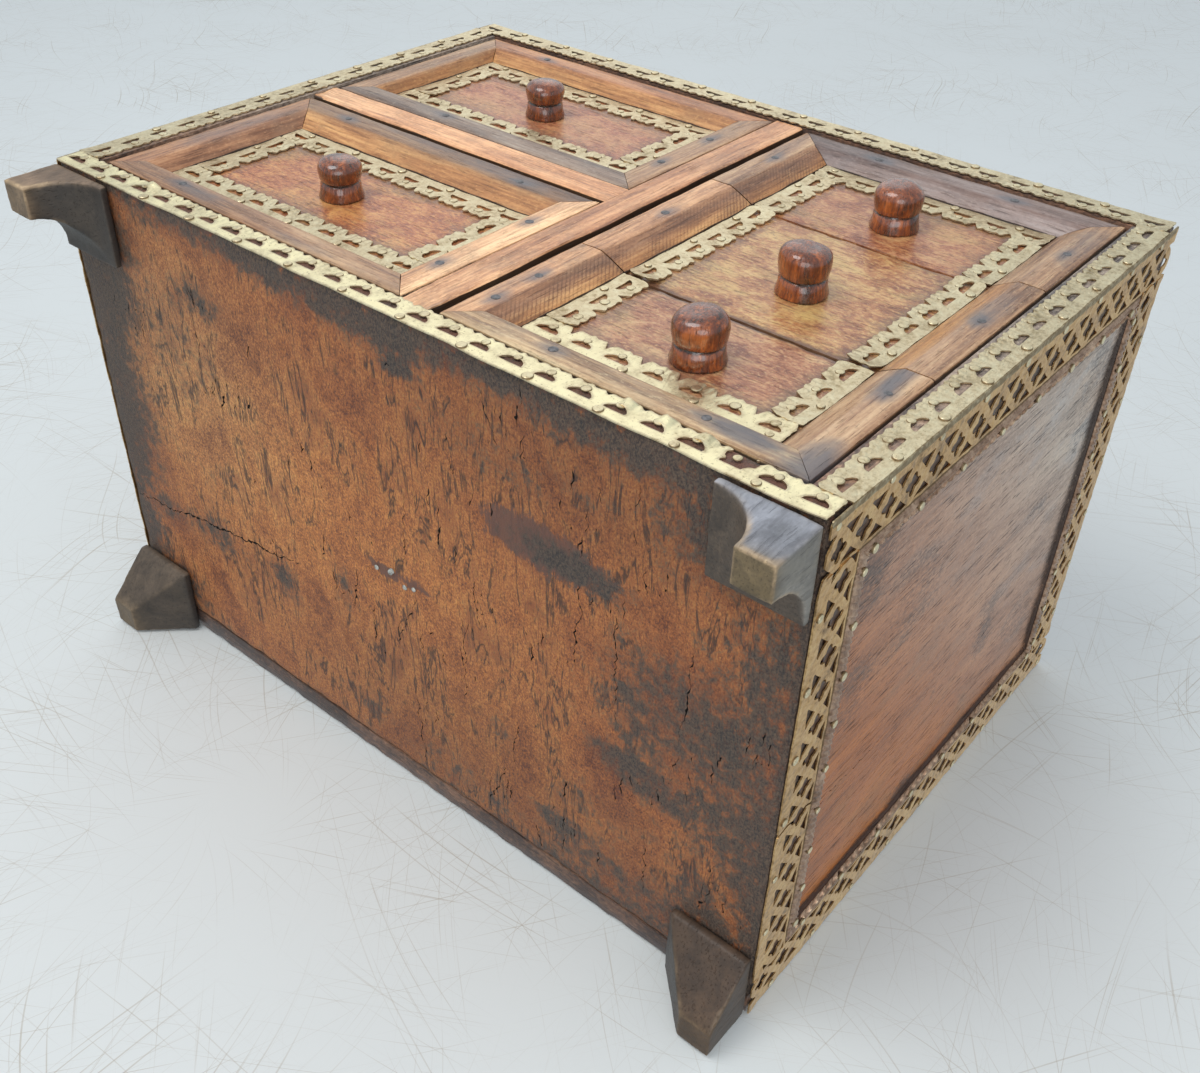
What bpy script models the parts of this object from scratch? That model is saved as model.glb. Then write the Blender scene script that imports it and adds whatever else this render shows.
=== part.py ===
"""Small brass-bound table cabinet with two drawers on the left and three on the right.

Metres, +Z up. The cabinet stands on its four feet with its drawers towards -Y. The origin lies on the
surface that it stands on, under the middle of its outline from the knobs to the back.
"""

import math

import bmesh
import bpy
from mathutils import Vector
from mathutils.geometry import delaunay_2d_cdt

# Wooden body, without its feet, brass and knobs
WIDTH = 0.432
BODY_HEIGHT = 0.303
DEPTH = 0.274

# Boards of the carcass
SIDE_BOARD = 0.015
END_BOARD = 0.014
BACK_BOARD = 0.012
PARTITION = 0.018
PARTITION_X = 0.0148
LEFT_DUST_BOARD = 0.018
RIGHT_DUST_BOARD = 0.008

# Heights of the lines between drawers, above the underside of the bottom board
LEFT_SPLIT = 0.153
LOWER_SPLIT = 0.1028
UPPER_SPLIT = 0.200

# Feet: square blocks at the corners, hollowed or tapered on their two inner sides
FOOT_HEIGHT = 0.029
FOOT_BASE = 0.042
FOOT_TIP = 0.017
FOOT_PLINTH = 0.005
FOOT_SHOULDER = 0.002
FOOT_COVE_STEPS = 7

# Drawers
DRAWER_PANEL = 0.011
DRAWER_SIDE = 0.008
DRAWER_BACK = 0.008
DRAWER_BOTTOM = 0.005

# Mouldings on the drawer fronts: a flat top, then a slope down to a low step on the panel
RECESS = 0.0075
MOULDING_FLAT = 0.0145
MOULDING_STEP = 0.0015

# How far each slope reaches across its panel. The strips are all of different widths
UPPER_LEFT_SLOPES = {"bottom": 0.0075, "right": 0.007, "top": 0.007, "left": 0.004}
LOWER_LEFT_SLOPES = {"bottom": 0.006, "right": 0.0057, "top": 0.0105, "left": 0.007}
RIGHT_SLOPES = {"bottom": 0.0062, "right": 0.0103, "top": 0.0057, "left": 0.0115}

# Brass and copper trim
BRASS = 0.0006
BORDER_BAND = 0.0138
DRAWER_BAND = 0.016
SIDE_BAND = 0.025
ROPE_WIDTH = 0.0075
ROPE_HEIGHT = 0.0025
SIDE_POCKET = 0.002

# Filling of the pierced sheets: which triangles are kept, and how close two corners count as one
TRIANGLES_WITHOUT_HOLES = 2
SHEET_MERGE = 0.000001

# Piercing of the front and drawer bands: a half moon in each repeat, a notch in the inner edge between them
MOON_PITCH = 0.0168
MOON_WIDTH = 0.0098
MOON_HEIGHT = 0.0031
MOON_INSET = 0.005
MOON_STEPS = 4
NOTCH_DEPTH = 0.004
NOTCH_WIDTH = 0.006

# Piercing of the side bands: a row of diamonds with a triangle on each side of the gaps between them
LATTICE_PITCH = 0.0172
LATTICE_MIDDLE = 0.0092
DIAMOND_LENGTH = 0.0074
DIAMOND_WIDTH = 0.0076
TRIANGLE_LENGTH = 0.0092
TRIANGLE_HEIGHT = 0.0056
TRIANGLE_OFFSET = 0.0024

# Turned knobs
LEFT_KNOB_DIAMETER = 0.022
RIGHT_KNOB_DIAMETER = 0.024
LEFT_KNOB_HEIGHT = 0.0195
RIGHT_KNOB_HEIGHT = 0.022
KNOB_BASE_HEIGHT = 0.008
KNOB_FLARE = 0.0009
KNOB_WAIST = 0.0014
KNOB_HEAD_INSET = 0.0004
KNOB_HEAD_SQUARENESS = 2.5
KNOB_HEAD_STEPS = 6
KNOB_SIDES = 18
KNOB_MERGE = 0.00001

# Knobs sit by eye, off the middle of their fronts: to the right, and up
UPPER_LEFT_KNOB = (-0.004, -0.002)
LOWER_LEFT_KNOB = (-0.002, -0.003)
UPPER_RIGHT_KNOB = (0.0, -0.017)
MIDDLE_RIGHT_KNOB = (0.004, -0.010)
LOWER_RIGHT_KNOB = (0.005, 0.007)

# Clearances
GLUE_LINE = 0.0002
RUNNING_GAP = 0.0003
DRAWER_GAP = 0.001
FRONT_JOINT = 0.0008
BOX_GAP = 0.0008
BOX_HEADROOM = 0.010
STOP_GAP = 0.003

# Levels that follow from the sizes above
KNOB_PROUD = RIGHT_KNOB_HEIGHT + GLUE_LINE - RECESS
FRONT = (KNOB_PROUD - DEPTH) / 2
BACK = FRONT + DEPTH
PANEL = FRONT + RECESS
INNER_BACK = BACK - BACK_BOARD
UNDERSIDE = FOOT_HEIGHT
TOP = UNDERSIDE + BODY_HEIGHT
FLOOR = UNDERSIDE + END_BOARD
CEILING = TOP - END_BOARD
HALF_WIDTH = WIDTH / 2
LEFT_COLUMN = (SIDE_BOARD - HALF_WIDTH, PARTITION_X - PARTITION / 2)
RIGHT_COLUMN = (PARTITION_X + PARTITION / 2, HALF_WIDTH - SIDE_BOARD)

# Finishes: colour, roughness and metallic value
FINISHES = {
    "old_wood": ((0.30, 0.14, 0.065), 0.6, 0.0),
    "dark_wood": ((0.09, 0.06, 0.045), 0.7, 0.0),
    "panel_wood": ((0.33, 0.12, 0.06), 0.4, 0.0),
    "moulding_wood": ((0.36, 0.18, 0.09), 0.5, 0.0),
    "knob_wood": ((0.17, 0.05, 0.02), 0.3, 0.0),
    "plain_wood": ((0.42, 0.27, 0.15), 0.7, 0.0),
    "brass": ((0.62, 0.50, 0.27), 0.4, 1.0),
    "copper": ((0.45, 0.24, 0.18), 0.45, 1.0),
}


def clear_scene():
    for old in list(bpy.data.objects):
        bpy.data.objects.remove(old, do_unlink=True)


def new_collection(name):
    collection = bpy.data.collections.new(name)
    bpy.context.scene.collection.children.link(collection)
    return collection


def make_materials():
    materials = {}
    for name, (colour, roughness, metallic) in FINISHES.items():
        material = bpy.data.materials.new(name)
        material.use_nodes = True
        shader = material.node_tree.nodes["Principled BSDF"]
        shader.inputs["Base Color"].default_value = (*colour, 1.0)
        shader.inputs["Roughness"].default_value = roughness
        shader.inputs["Metallic"].default_value = metallic
        materials[name] = material
    return materials


clear_scene()
PARTS = new_collection("table_cabinet")
CUTTERS = new_collection("cutters")
MATERIALS = make_materials()


def new_empty(name, place):
    """A frame that carries one drawer, with its origin on the line that the drawer slides along."""
    empty = bpy.data.objects.new(name, None)
    empty.location = place
    PARTS.objects.link(empty)
    return empty


def add_part(name, data, place, finish, carrier):
    """Make one named part at a place in the world, carried by an empty if one is given."""
    part = bpy.data.objects.new(name, data)
    data.materials.append(MATERIALS[finish])
    part.location = place
    if carrier:
        part.parent = carrier
        part.location = Vector(place) - carrier.location
    PARTS.objects.link(part)
    return part


def box_mesh(name, size):
    shape = bmesh.new()
    bmesh.ops.create_cube(shape, size=1.0)
    bmesh.ops.scale(shape, vec=size, verts=shape.verts)
    mesh = bpy.data.meshes.new(name)
    shape.to_mesh(mesh)
    shape.free()
    return mesh


def add_board(name, low, high, finish, carrier=None):
    """A board between two opposite corners."""
    low = Vector(low)
    high = Vector(high)
    return add_part(name, box_mesh(name, high - low), (low + high) / 2, finish, carrier)


def cut_pocket(board, low, high):
    """Sink a box-shaped pocket into a board."""
    low = Vector(low)
    high = Vector(high)
    cutter = bpy.data.objects.new(board.name + "_pocket", box_mesh(board.name + "_pocket", high - low))
    cutter.location = (low + high) / 2
    cutter.hide_render = True
    cutter.display_type = "WIRE"
    CUTTERS.objects.link(cutter)
    cut = board.modifiers.new("pocket", "BOOLEAN")
    cut.operation = "DIFFERENCE"
    cut.solver = "EXACT"
    cut.object = cutter


def inset_path(path, closed, insets):
    """Move each side of a square-cornered path, which has its inside on the left, in by its own inset."""
    path = [Vector(corner) for corner in path]
    count = len(path)
    moves = []
    for index in range(count if closed else count - 1):
        step = (path[(index + 1) % count] - path[index]).normalized()
        moves.append(insets[index] * Vector((-step.y, step.x)))
    if closed:
        return [path[index] + moves[index - 1] + moves[index] for index in range(count)]
    inner = [path[index] + moves[index - 1] + moves[index] for index in range(1, count - 1)]
    return [path[0] + moves[0], *inner, path[-1] + moves[-1]]


def add_mitred_strip(name, path, closed, profile, to_world, finish, carrier=None):
    """Sweep a profile along a path and mitre it at the corners. A profile point has an inset for each side
    of the path, and a height. to_world turns a path point and a height into a point in the world."""
    origin = carrier.location if carrier else Vector((0.0, 0.0, 0.0))
    shape = bmesh.new()
    lines = []
    for insets, height in profile:
        line = inset_path(path, closed, insets)
        lines.append([shape.verts.new(to_world(corner, height) - origin) for corner in line])
    rings = list(zip(*lines))
    spans = list(zip(rings, rings[1:]))
    if closed:
        spans.append((rings[-1], rings[0]))
    for near, far in spans:
        for index in range(len(profile)):
            after = (index + 1) % len(profile)
            shape.faces.new((near[index], near[after], far[after], far[index]))
    if not closed:
        shape.faces.new(rings[0])
        shape.faces.new(rings[-1])
    bmesh.ops.recalc_face_normals(shape, faces=shape.faces)
    mesh = bpy.data.meshes.new(name)
    shape.to_mesh(mesh)
    shape.free()
    return add_part(name, mesh, origin, finish, carrier)


def add_sheet(name, outlines, thickness, place, rotation, finish, carrier=None):
    """A flat sheet from its outline and the outlines of its holes, centred on its own plane."""
    corners = []
    loops = []
    for outline in outlines:
        loops.append(range(len(corners), len(corners) + len(outline)))
        corners += [Vector(corner) for corner in outline]
    filled = delaunay_2d_cdt(corners, [], loops, TRIANGLES_WITHOUT_HOLES, SHEET_MERGE)
    corners, triangles = filled[0], filled[2]
    shape = bmesh.new()
    low, high = ([shape.verts.new((u, v, level)) for u, v in corners]
                 for level in (-thickness / 2, thickness / 2))
    walls = set()
    for triangle in triangles:
        shape.faces.new([high[corner] for corner in triangle])
        shape.faces.new([low[corner] for corner in reversed(triangle)])
        walls.update(zip(triangle, (*triangle[1:], triangle[0])))
    for start, end in sorted(walls):
        if (end, start) not in walls:
            shape.faces.new((low[start], low[end], high[end], high[start]))
    mesh = bpy.data.meshes.new(name)
    shape.to_mesh(mesh)
    shape.free()
    sheet = add_part(name, mesh, place, finish, carrier)
    sheet.rotation_euler = rotation
    return sheet


def rectangle(low_u, high_u, low_v, high_v):
    return [Vector(corner) for corner in
            ((low_u, low_v), (high_u, low_v), (high_u, high_v), (low_u, high_v))]


def half_moon():
    """A hole with its round side towards the inner edge of a band: (along the band, from its inner edge)."""
    moon = []
    for step in range(MOON_STEPS + 1):
        angle = math.pi * step / MOON_STEPS
        moon.append((MOON_WIDTH / 2 * math.cos(angle), MOON_INSET + MOON_HEIGHT * (1 - math.sin(angle))))
    return moon


def notch():
    """A cut into the inner edge of a band."""
    return [(-NOTCH_WIDTH / 2, 0.0), (0.0, NOTCH_DEPTH), (NOTCH_WIDTH / 2, 0.0)]


def diamond():
    along = DIAMOND_LENGTH / 2
    across = DIAMOND_WIDTH / 2
    corners = ((along, 0.0), (0.0, across), (-along, 0.0), (0.0, -across))
    return [(u, LATTICE_MIDDLE + v) for u, v in corners]


def lattice_triangles():
    """Two triangles that point at each other across the middle of the lattice."""
    half = TRIANGLE_LENGTH / 2
    triangles = []
    for side in (-1, 1):
        tip = LATTICE_MIDDLE + side * TRIANGLE_OFFSET
        base = tip + side * TRIANGLE_HEIGHT
        triangles.append([(-half, base), (half, base), (0.0, tip)])
    return triangles


def pierced_band(path, closed, width, pitch, holes, holes_between, cut_between):
    """Outlines of a flat band with its outer edge on the path: the band itself, then its holes. Each straight
    run holds as many repeats as fit at the pitch. Shapes are given along the band and from its inner edge."""
    path = [Vector(corner) for corner in path]
    count = len(path)
    inner = inset_path(path, closed, [width] * count)
    edge = []
    pierced = []
    for index in range(count if closed else count - 1):
        start = inner[index]
        run = inner[(index + 1) % count] - start
        along = run.normalized()
        outward = Vector((along.y, -along.x))
        repeats = max(1, int(run.length / pitch))
        step = run.length / repeats
        edge.append(start)
        for repeat in range(repeats):
            boundary = start + along * step * repeat
            if repeat:
                edge += [boundary + along * u + outward * v for u, v in cut_between]
                for hole in holes_between:
                    pierced.append([boundary + along * u + outward * v for u, v in hole])
            middle = boundary + along * step / 2
            for hole in holes:
                pierced.append([middle + along * u + outward * v for u, v in hole])
    if closed:
        return [path, edge, *pierced]
    edge.append(inner[-1])
    return [path + edge[::-1], *pierced]


def moon_band(path, closed, width):
    return pierced_band(path, closed, width, MOON_PITCH, [half_moon()], [], notch())


def lattice_band(path):
    return pierced_band(path, True, SIDE_BAND, LATTICE_PITCH, [diamond()], lattice_triangles(), [])


FACING_FRONT = (math.pi / 2, 0.0, 0.0)
FACING_SIDE = (math.pi / 2, 0.0, math.pi / 2)


def add_carcass():
    """Top, bottom, sides, back, the partition between the columns and the boards that carry drawers."""
    board_back = INNER_BACK - GLUE_LINE
    for name, low, high in (("bottom_board", UNDERSIDE, FLOOR), ("top_board", CEILING, TOP)):
        add_board(name, (-HALF_WIDTH, FRONT, low), (HALF_WIDTH, board_back, high), "old_wood")
    low = FLOOR + GLUE_LINE
    high = CEILING - GLUE_LINE
    for name, side in (("left_side_board", -1), ("right_side_board", 1)):
        add_side_board(name, side, low, high, board_back)
    add_board("back_board", (-HALF_WIDTH, INNER_BACK, UNDERSIDE), (HALF_WIDTH, BACK, TOP), "old_wood")
    add_board(
        "centre_partition",
        (LEFT_COLUMN[1], FRONT, low),
        (RIGHT_COLUMN[0], board_back, high),
        "moulding_wood",
    )
    add_dust_board("left_dust_board", LEFT_COLUMN, FRONT, LEFT_SPLIT, LEFT_DUST_BOARD, "moulding_wood")
    behind_fronts = PANEL + DRAWER_PANEL + DRAWER_GAP
    for name, split in (("right_dust_board_lower", LOWER_SPLIT), ("right_dust_board_upper", UPPER_SPLIT)):
        add_dust_board(name, RIGHT_COLUMN, behind_fronts, split, RIGHT_DUST_BOARD, "plain_wood")


def add_side_board(name, side, low, high, board_back):
    """A side with a shallow sunk field inside its metal border."""
    near = side * (HALF_WIDTH - SIDE_BOARD)
    far = side * HALF_WIDTH
    board = add_board(name, (min(near, far), FRONT, low), (max(near, far), board_back, high), "old_wood")
    border = SIDE_BAND + ROPE_WIDTH + 2 * GLUE_LINE
    sunk = side * (HALF_WIDTH - SIDE_POCKET)
    outside = side * (HALF_WIDTH + SIDE_BOARD)
    cut_pocket(
        board,
        (min(sunk, outside), FRONT + border, UNDERSIDE + border),
        (max(sunk, outside), BACK - border, TOP - border),
    )


def add_dust_board(name, column, near, split, thickness, finish):
    middle = UNDERSIDE + split
    add_board(
        name,
        (column[0] + GLUE_LINE, near, middle - thickness / 2),
        (column[1] - GLUE_LINE, INNER_BACK - GLUE_LINE, middle + thickness / 2),
        finish,
    )


def coved_profile():
    """Front feet: (size, height) from the tip up a hollow quarter round to a shoulder under the plinth."""
    shoulder = FOOT_BASE - FOOT_SHOULDER
    rise = FOOT_HEIGHT - FOOT_PLINTH
    profile = []
    for step in range(FOOT_COVE_STEPS + 1):
        angle = math.pi / 2 * step / FOOT_COVE_STEPS
        profile.append((shoulder - (shoulder - FOOT_TIP) * math.cos(angle), rise * math.sin(angle)))
    return profile + [(FOOT_BASE, rise), (FOOT_BASE, FOOT_HEIGHT - GLUE_LINE)]


def tapered_profile():
    """Back feet: a straight taper from the tip to the base."""
    rise = FOOT_HEIGHT - FOOT_PLINTH
    return [(FOOT_TIP, 0.0), (FOOT_BASE, rise), (FOOT_BASE, FOOT_HEIGHT - GLUE_LINE)]


def add_foot(name, side, front, profile):
    """Square sections stacked from the tip to the base, flush with the two outer faces of the corner."""
    outer_x = side * HALF_WIDTH
    outer_y = FRONT if front else BACK
    inward = 1 if front else -1
    shape = bmesh.new()
    rings = []
    for size, height in profile:
        corners = ((0.0, 0.0), (-side * size, 0.0), (-side * size, inward * size), (0.0, inward * size))
        rings.append([shape.verts.new((x, y, height)) for x, y in corners])
    shape.faces.new(rings[0])
    shape.faces.new(rings[-1])
    for lower, upper in zip(rings, rings[1:]):
        for index in range(4):
            after = (index + 1) % 4
            shape.faces.new((lower[index], lower[after], upper[after], upper[index]))
    bmesh.ops.recalc_face_normals(shape, faces=shape.faces)
    mesh = bpy.data.meshes.new(name)
    shape.to_mesh(mesh)
    shape.free()
    add_part(name, mesh, (outer_x, outer_y, 0.0), "dark_wood", None)


def add_feet():
    for row, front, profile in (("front", True, coved_profile()), ("back", False, tapered_profile())):
        for column, side in (("left", -1), ("right", 1)):
            add_foot(f"{row}_{column}_foot", side, front, profile)


def add_front_border():
    """Brass over the front edges of the outer boards."""
    outlines = moon_band(rectangle(-HALF_WIDTH, HALF_WIDTH, UNDERSIDE, TOP), True, BORDER_BAND)
    place = (0.0, FRONT - GLUE_LINE - BRASS / 2, 0.0)
    add_sheet("front_brass_border", outlines, BRASS, place, FACING_FRONT, "brass")


def add_side_trim(side_name, side):
    """A brass band round the outer face of a side, with a copper rope inside it."""
    edge = rectangle(FRONT, BACK, UNDERSIDE, TOP)
    place = (side * (HALF_WIDTH + GLUE_LINE + BRASS / 2), 0.0, 0.0)
    add_sheet(f"{side_name}_brass_lattice", lattice_band(edge), BRASS, place, FACING_SIDE, "brass")

    def on_side(point, height):
        return Vector((side * (HALF_WIDTH + GLUE_LINE + height), point.x, point.y))

    sides = len(edge)
    rope_edge = inset_path(edge, True, [SIDE_BAND + GLUE_LINE] * sides)
    section = [
        (0.0, 0.0),
        (0.0, ROPE_HEIGHT / 2),
        (ROPE_WIDTH / 4, ROPE_HEIGHT),
        (ROPE_WIDTH * 3 / 4, ROPE_HEIGHT),
        (ROPE_WIDTH, ROPE_HEIGHT / 2),
        (ROPE_WIDTH, 0.0),
    ]
    rope = [([inset] * sides, height) for inset, height in section]
    add_mitred_strip(f"{side_name}_copper_rope", rope_edge, True, rope, on_side, "copper")


class Drawer:
    """Where one drawer sits: its column, the line below and above its front, the surface that it runs on
    and the board above it. Then its knob, as (diameter, height), how far that sits from the middle of the
    front, and the slopes of its mouldings."""

    def __init__(self, name, column, low, high, runner, ceiling, knob, knob_shift, slopes):
        self.name = name
        self.left = column[0] + DRAWER_GAP
        self.right = column[1] - DRAWER_GAP
        self.low = low
        self.high = high
        self.box_left = column[0] + BOX_GAP
        self.box_right = column[1] - BOX_GAP
        self.runner = runner
        self.ceiling = ceiling
        self.knob = knob
        self.slopes = slopes
        middle = Vector(((self.left + self.right) / 2, PANEL, (low + high) / 2))
        self.knob_place = middle + Vector((knob_shift[0], -GLUE_LINE, knob_shift[1]))
        self.carrier = new_empty(name + "_drawer", middle)


def lay_out_drawers():
    left_low = UNDERSIDE + LEFT_SPLIT - LEFT_DUST_BOARD / 2
    left_high = UNDERSIDE + LEFT_SPLIT + LEFT_DUST_BOARD / 2
    lower = UNDERSIDE + LOWER_SPLIT
    upper = UNDERSIDE + UPPER_SPLIT
    half_dust = RIGHT_DUST_BOARD / 2
    half_joint = FRONT_JOINT / 2
    floor = FLOOR + DRAWER_GAP
    ceiling = CEILING - DRAWER_GAP
    left_knob = (LEFT_KNOB_DIAMETER, LEFT_KNOB_HEIGHT)
    right_knob = (RIGHT_KNOB_DIAMETER, RIGHT_KNOB_HEIGHT)
    return [
        Drawer("upper_left", LEFT_COLUMN, left_high + DRAWER_GAP, ceiling, left_high, CEILING,
               left_knob, UPPER_LEFT_KNOB, UPPER_LEFT_SLOPES),
        Drawer("lower_left", LEFT_COLUMN, floor, left_low - DRAWER_GAP, FLOOR, left_low,
               left_knob, LOWER_LEFT_KNOB, LOWER_LEFT_SLOPES),
        Drawer("upper_right", RIGHT_COLUMN, upper + half_joint, ceiling, upper + half_dust, CEILING,
               right_knob, UPPER_RIGHT_KNOB, RIGHT_SLOPES),
        Drawer("middle_right", RIGHT_COLUMN, lower + half_joint, upper - half_joint, lower + half_dust,
               upper - half_dust, right_knob, MIDDLE_RIGHT_KNOB, RIGHT_SLOPES),
        Drawer("lower_right", RIGHT_COLUMN, floor, lower - half_joint, FLOOR, lower - half_dust,
               right_knob, LOWER_RIGHT_KNOB, RIGHT_SLOPES),
    ]


def add_drawer_box(drawer):
    """Front panel, bottom, two sides and back."""
    front = PANEL + DRAWER_PANEL
    near = front + GLUE_LINE
    far = INNER_BACK - STOP_GAP
    low = drawer.runner + RUNNING_GAP
    wall_low = low + DRAWER_BOTTOM + GLUE_LINE
    wall_high = drawer.ceiling - BOX_HEADROOM
    left = drawer.box_left
    right = drawer.box_right
    inner_left = left + DRAWER_SIDE
    inner_right = right - DRAWER_SIDE
    back_near = far - DRAWER_BACK
    boards = (
        ("front", (drawer.left, PANEL, drawer.low), (drawer.right, front, drawer.high), "panel_wood"),
        ("bottom", (left, near, low), (right, far, low + DRAWER_BOTTOM), "plain_wood"),
        ("left_side", (left, near, wall_low), (inner_left, far, wall_high), "plain_wood"),
        ("right_side", (inner_right, near, wall_low), (right, far, wall_high), "plain_wood"),
        (
            "back",
            (inner_left + GLUE_LINE, back_near, wall_low),
            (inner_right - GLUE_LINE, far, wall_high),
            "plain_wood",
        ),
    )
    for board, low_corner, high_corner, finish in boards:
        add_board(f"{drawer.name}_drawer_{board}", low_corner, high_corner, finish, drawer.carrier)


def knob_profile(diameter, knob_height):
    """(radius, height) from the top of the head down to the foot of the base."""
    base = diameter / 2
    waist = base - KNOB_FLARE - KNOB_WAIST
    head = base - KNOB_HEAD_INSET
    half_head = (knob_height - KNOB_BASE_HEIGHT) / 2
    middle = knob_height - half_head
    power = 2 / KNOB_HEAD_SQUARENESS
    profile = []
    for step in range(KNOB_HEAD_STEPS + 1):
        angle = math.pi / 2 * step / KNOB_HEAD_STEPS
        profile.append((head * math.sin(angle) ** power, middle + half_head * math.cos(angle) ** power))
    profile += [
        (head - KNOB_FLARE, middle - half_head + KNOB_WAIST),
        (waist, KNOB_BASE_HEIGHT),
        (base - KNOB_FLARE, KNOB_BASE_HEIGHT - KNOB_WAIST),
        (base, 0.0),
        (0.0, 0.0),
    ]
    profile[0] = (0.0, knob_height)
    return profile


def add_knob(drawer):
    """A turned knob that stands out from the front along -Y."""
    name = drawer.name + "_knob"
    mesh = bpy.data.meshes.new(name)
    points = [(radius, 0.0, height) for radius, height in knob_profile(*drawer.knob)]
    mesh.from_pydata(points, [(index, index + 1) for index in range(len(points) - 1)], [])
    knob = add_part(name, mesh, drawer.knob_place, "knob_wood", drawer.carrier)
    knob.rotation_euler = FACING_FRONT
    turn = knob.modifiers.new("turn", "SCREW")
    turn.steps = KNOB_SIDES
    turn.render_steps = KNOB_SIDES
    turn.use_merge_vertices = True
    turn.merge_threshold = KNOB_MERGE
    turn.use_smooth_shade = True


def trim_paths(drawer):
    """The lines that mouldings and brass follow round a front, with the panel on their left: the ending of
    the names, the line, and its sides in order. The three fronts on the right share one frame."""
    left, right, low, high = drawer.left, drawer.right, drawer.low, drawer.high
    if drawer.name == "upper_right":
        return [("", [(right, low), (right, high), (left, high), (left, low)], ("right", "top", "left"))]
    if drawer.name == "lower_right":
        return [("", [(left, high), (left, low), (right, low), (right, high)], ("left", "bottom", "right"))]
    if drawer.name == "middle_right":
        left_edge = [(left, high), (left, low)]
        right_edge = [(right, low), (right, high)]
        return [("_left", left_edge, ("left",)), ("_right", right_edge, ("right",))]
    return [("", rectangle(left, right, low, high), ("bottom", "right", "top", "left"))]


def add_front_trim(drawer):
    """Mouldings along the edges of a front, and the brass band that lies on its panel inside them."""

    def on_panel(point, height):
        return Vector((point.x, PANEL - GLUE_LINE - height, point.y))

    moulding_height = RECESS - GLUE_LINE
    carrier = drawer.carrier
    place = (carrier.location.x, PANEL - GLUE_LINE - BRASS / 2, carrier.location.z)
    centre = Vector((carrier.location.x, carrier.location.z))
    for suffix, path, sides in trim_paths(drawer):
        closed = len(path) == len(sides)
        outer = [0.0] * len(sides)
        ridge = [MOULDING_FLAT] * len(sides)
        foot = [MOULDING_FLAT + drawer.slopes[side] for side in sides]
        moulding = [
            (outer, 0.0),
            (outer, moulding_height),
            (ridge, moulding_height),
            (foot, MOULDING_STEP),
            (foot, 0.0),
        ]
        name = f"{drawer.name}_drawer_moulding{suffix}"
        add_mitred_strip(name, path, closed, moulding, on_panel, "moulding_wood", carrier)
        edge = inset_path(path, closed, [inset + GLUE_LINE for inset in foot])
        outlines = []
        for outline in moon_band(edge, closed, DRAWER_BAND):
            outlines.append([point - centre for point in outline])
        name = f"{drawer.name}_drawer_brass{suffix}"
        add_sheet(name, outlines, BRASS, place, FACING_FRONT, "brass", carrier)


add_carcass()
add_feet()
add_front_border()
add_side_trim("left", -1)
add_side_trim("right", 1)
for each_drawer in lay_out_drawers():
    add_drawer_box(each_drawer)
    add_knob(each_drawer)
    add_front_trim(each_drawer)
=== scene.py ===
"""Looks of the small brass-bound table cabinet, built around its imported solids.

Metres, in the frame of the solids: drawers towards -Y, +Z up. The camera looks at the cabinet as it lies on
its back, so the floor of that view is the plane behind the back board.
"""

import math
import random

import bmesh
import bpy
import numpy as np
from mathutils import Matrix, Vector, noise


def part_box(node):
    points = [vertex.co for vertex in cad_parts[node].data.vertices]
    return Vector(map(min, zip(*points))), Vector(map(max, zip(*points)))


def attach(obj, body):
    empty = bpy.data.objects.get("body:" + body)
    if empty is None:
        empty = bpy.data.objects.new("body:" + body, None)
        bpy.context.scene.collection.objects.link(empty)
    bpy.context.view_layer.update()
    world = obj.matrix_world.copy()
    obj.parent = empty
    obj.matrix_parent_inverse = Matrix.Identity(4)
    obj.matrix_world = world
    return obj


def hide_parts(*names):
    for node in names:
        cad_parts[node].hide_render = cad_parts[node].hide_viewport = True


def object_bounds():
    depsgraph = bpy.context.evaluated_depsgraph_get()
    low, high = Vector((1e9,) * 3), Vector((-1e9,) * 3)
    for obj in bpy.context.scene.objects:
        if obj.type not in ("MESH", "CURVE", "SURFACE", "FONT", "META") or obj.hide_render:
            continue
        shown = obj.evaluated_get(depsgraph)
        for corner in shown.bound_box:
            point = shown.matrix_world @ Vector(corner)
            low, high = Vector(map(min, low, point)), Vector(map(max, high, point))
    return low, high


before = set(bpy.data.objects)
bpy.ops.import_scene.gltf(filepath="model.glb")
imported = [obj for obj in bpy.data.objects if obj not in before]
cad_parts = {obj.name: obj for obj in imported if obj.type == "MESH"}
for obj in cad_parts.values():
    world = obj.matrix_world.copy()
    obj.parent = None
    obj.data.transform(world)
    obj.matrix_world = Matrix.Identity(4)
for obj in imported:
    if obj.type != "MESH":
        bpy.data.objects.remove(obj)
CAD_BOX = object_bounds()
CARCASS = "carcass"

# Levels and edges of the wooden body, read from the frame
LEFT, FRONT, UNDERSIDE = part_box("bottom_board")[0]
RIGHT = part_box("bottom_board")[1].x
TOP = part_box("top_board")[1].z
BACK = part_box("back_board")[1].y
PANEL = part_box("upper_left_drawer_front")[0].y
GLUE_LINE = 0.0002

# Mouldings on the drawer fronts
MOULDING_HEIGHT = PANEL - FRONT - GLUE_LINE
MOULDING_FLAT = 0.0145
MOULDING_FOOT = 0.0015
STATION = 0.003
# How far the slope of each strip reaches across its panel
LEFT_SLOPES = {
    "upper_left": {"bottom": 0.0075, "right": 0.007, "top": 0.007, "left": 0.004},
    "lower_left": {"bottom": 0.006, "right": 0.0057, "top": 0.0105, "left": 0.007},
}
RIGHT_SLOPES = {"bottom": 0.0062, "right": 0.0103, "top": 0.0057, "left": 0.0115}

# Brass sheet and its two patterns
BRASS = 0.0005
BORDER_BAND = 0.0138
DRAWER_BAND = 0.016
SIDE_BAND = 0.025
SHEET_CELL = 0.0008
LATTICE_CELL = 0.0009
MOON_PITCH = 0.0168
LATTICE_PITCH = 0.0172

# Copper rope inside the side lattices
ROPE_WIDTH = 0.0075
ROPE_HEIGHT = 0.0024

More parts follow.
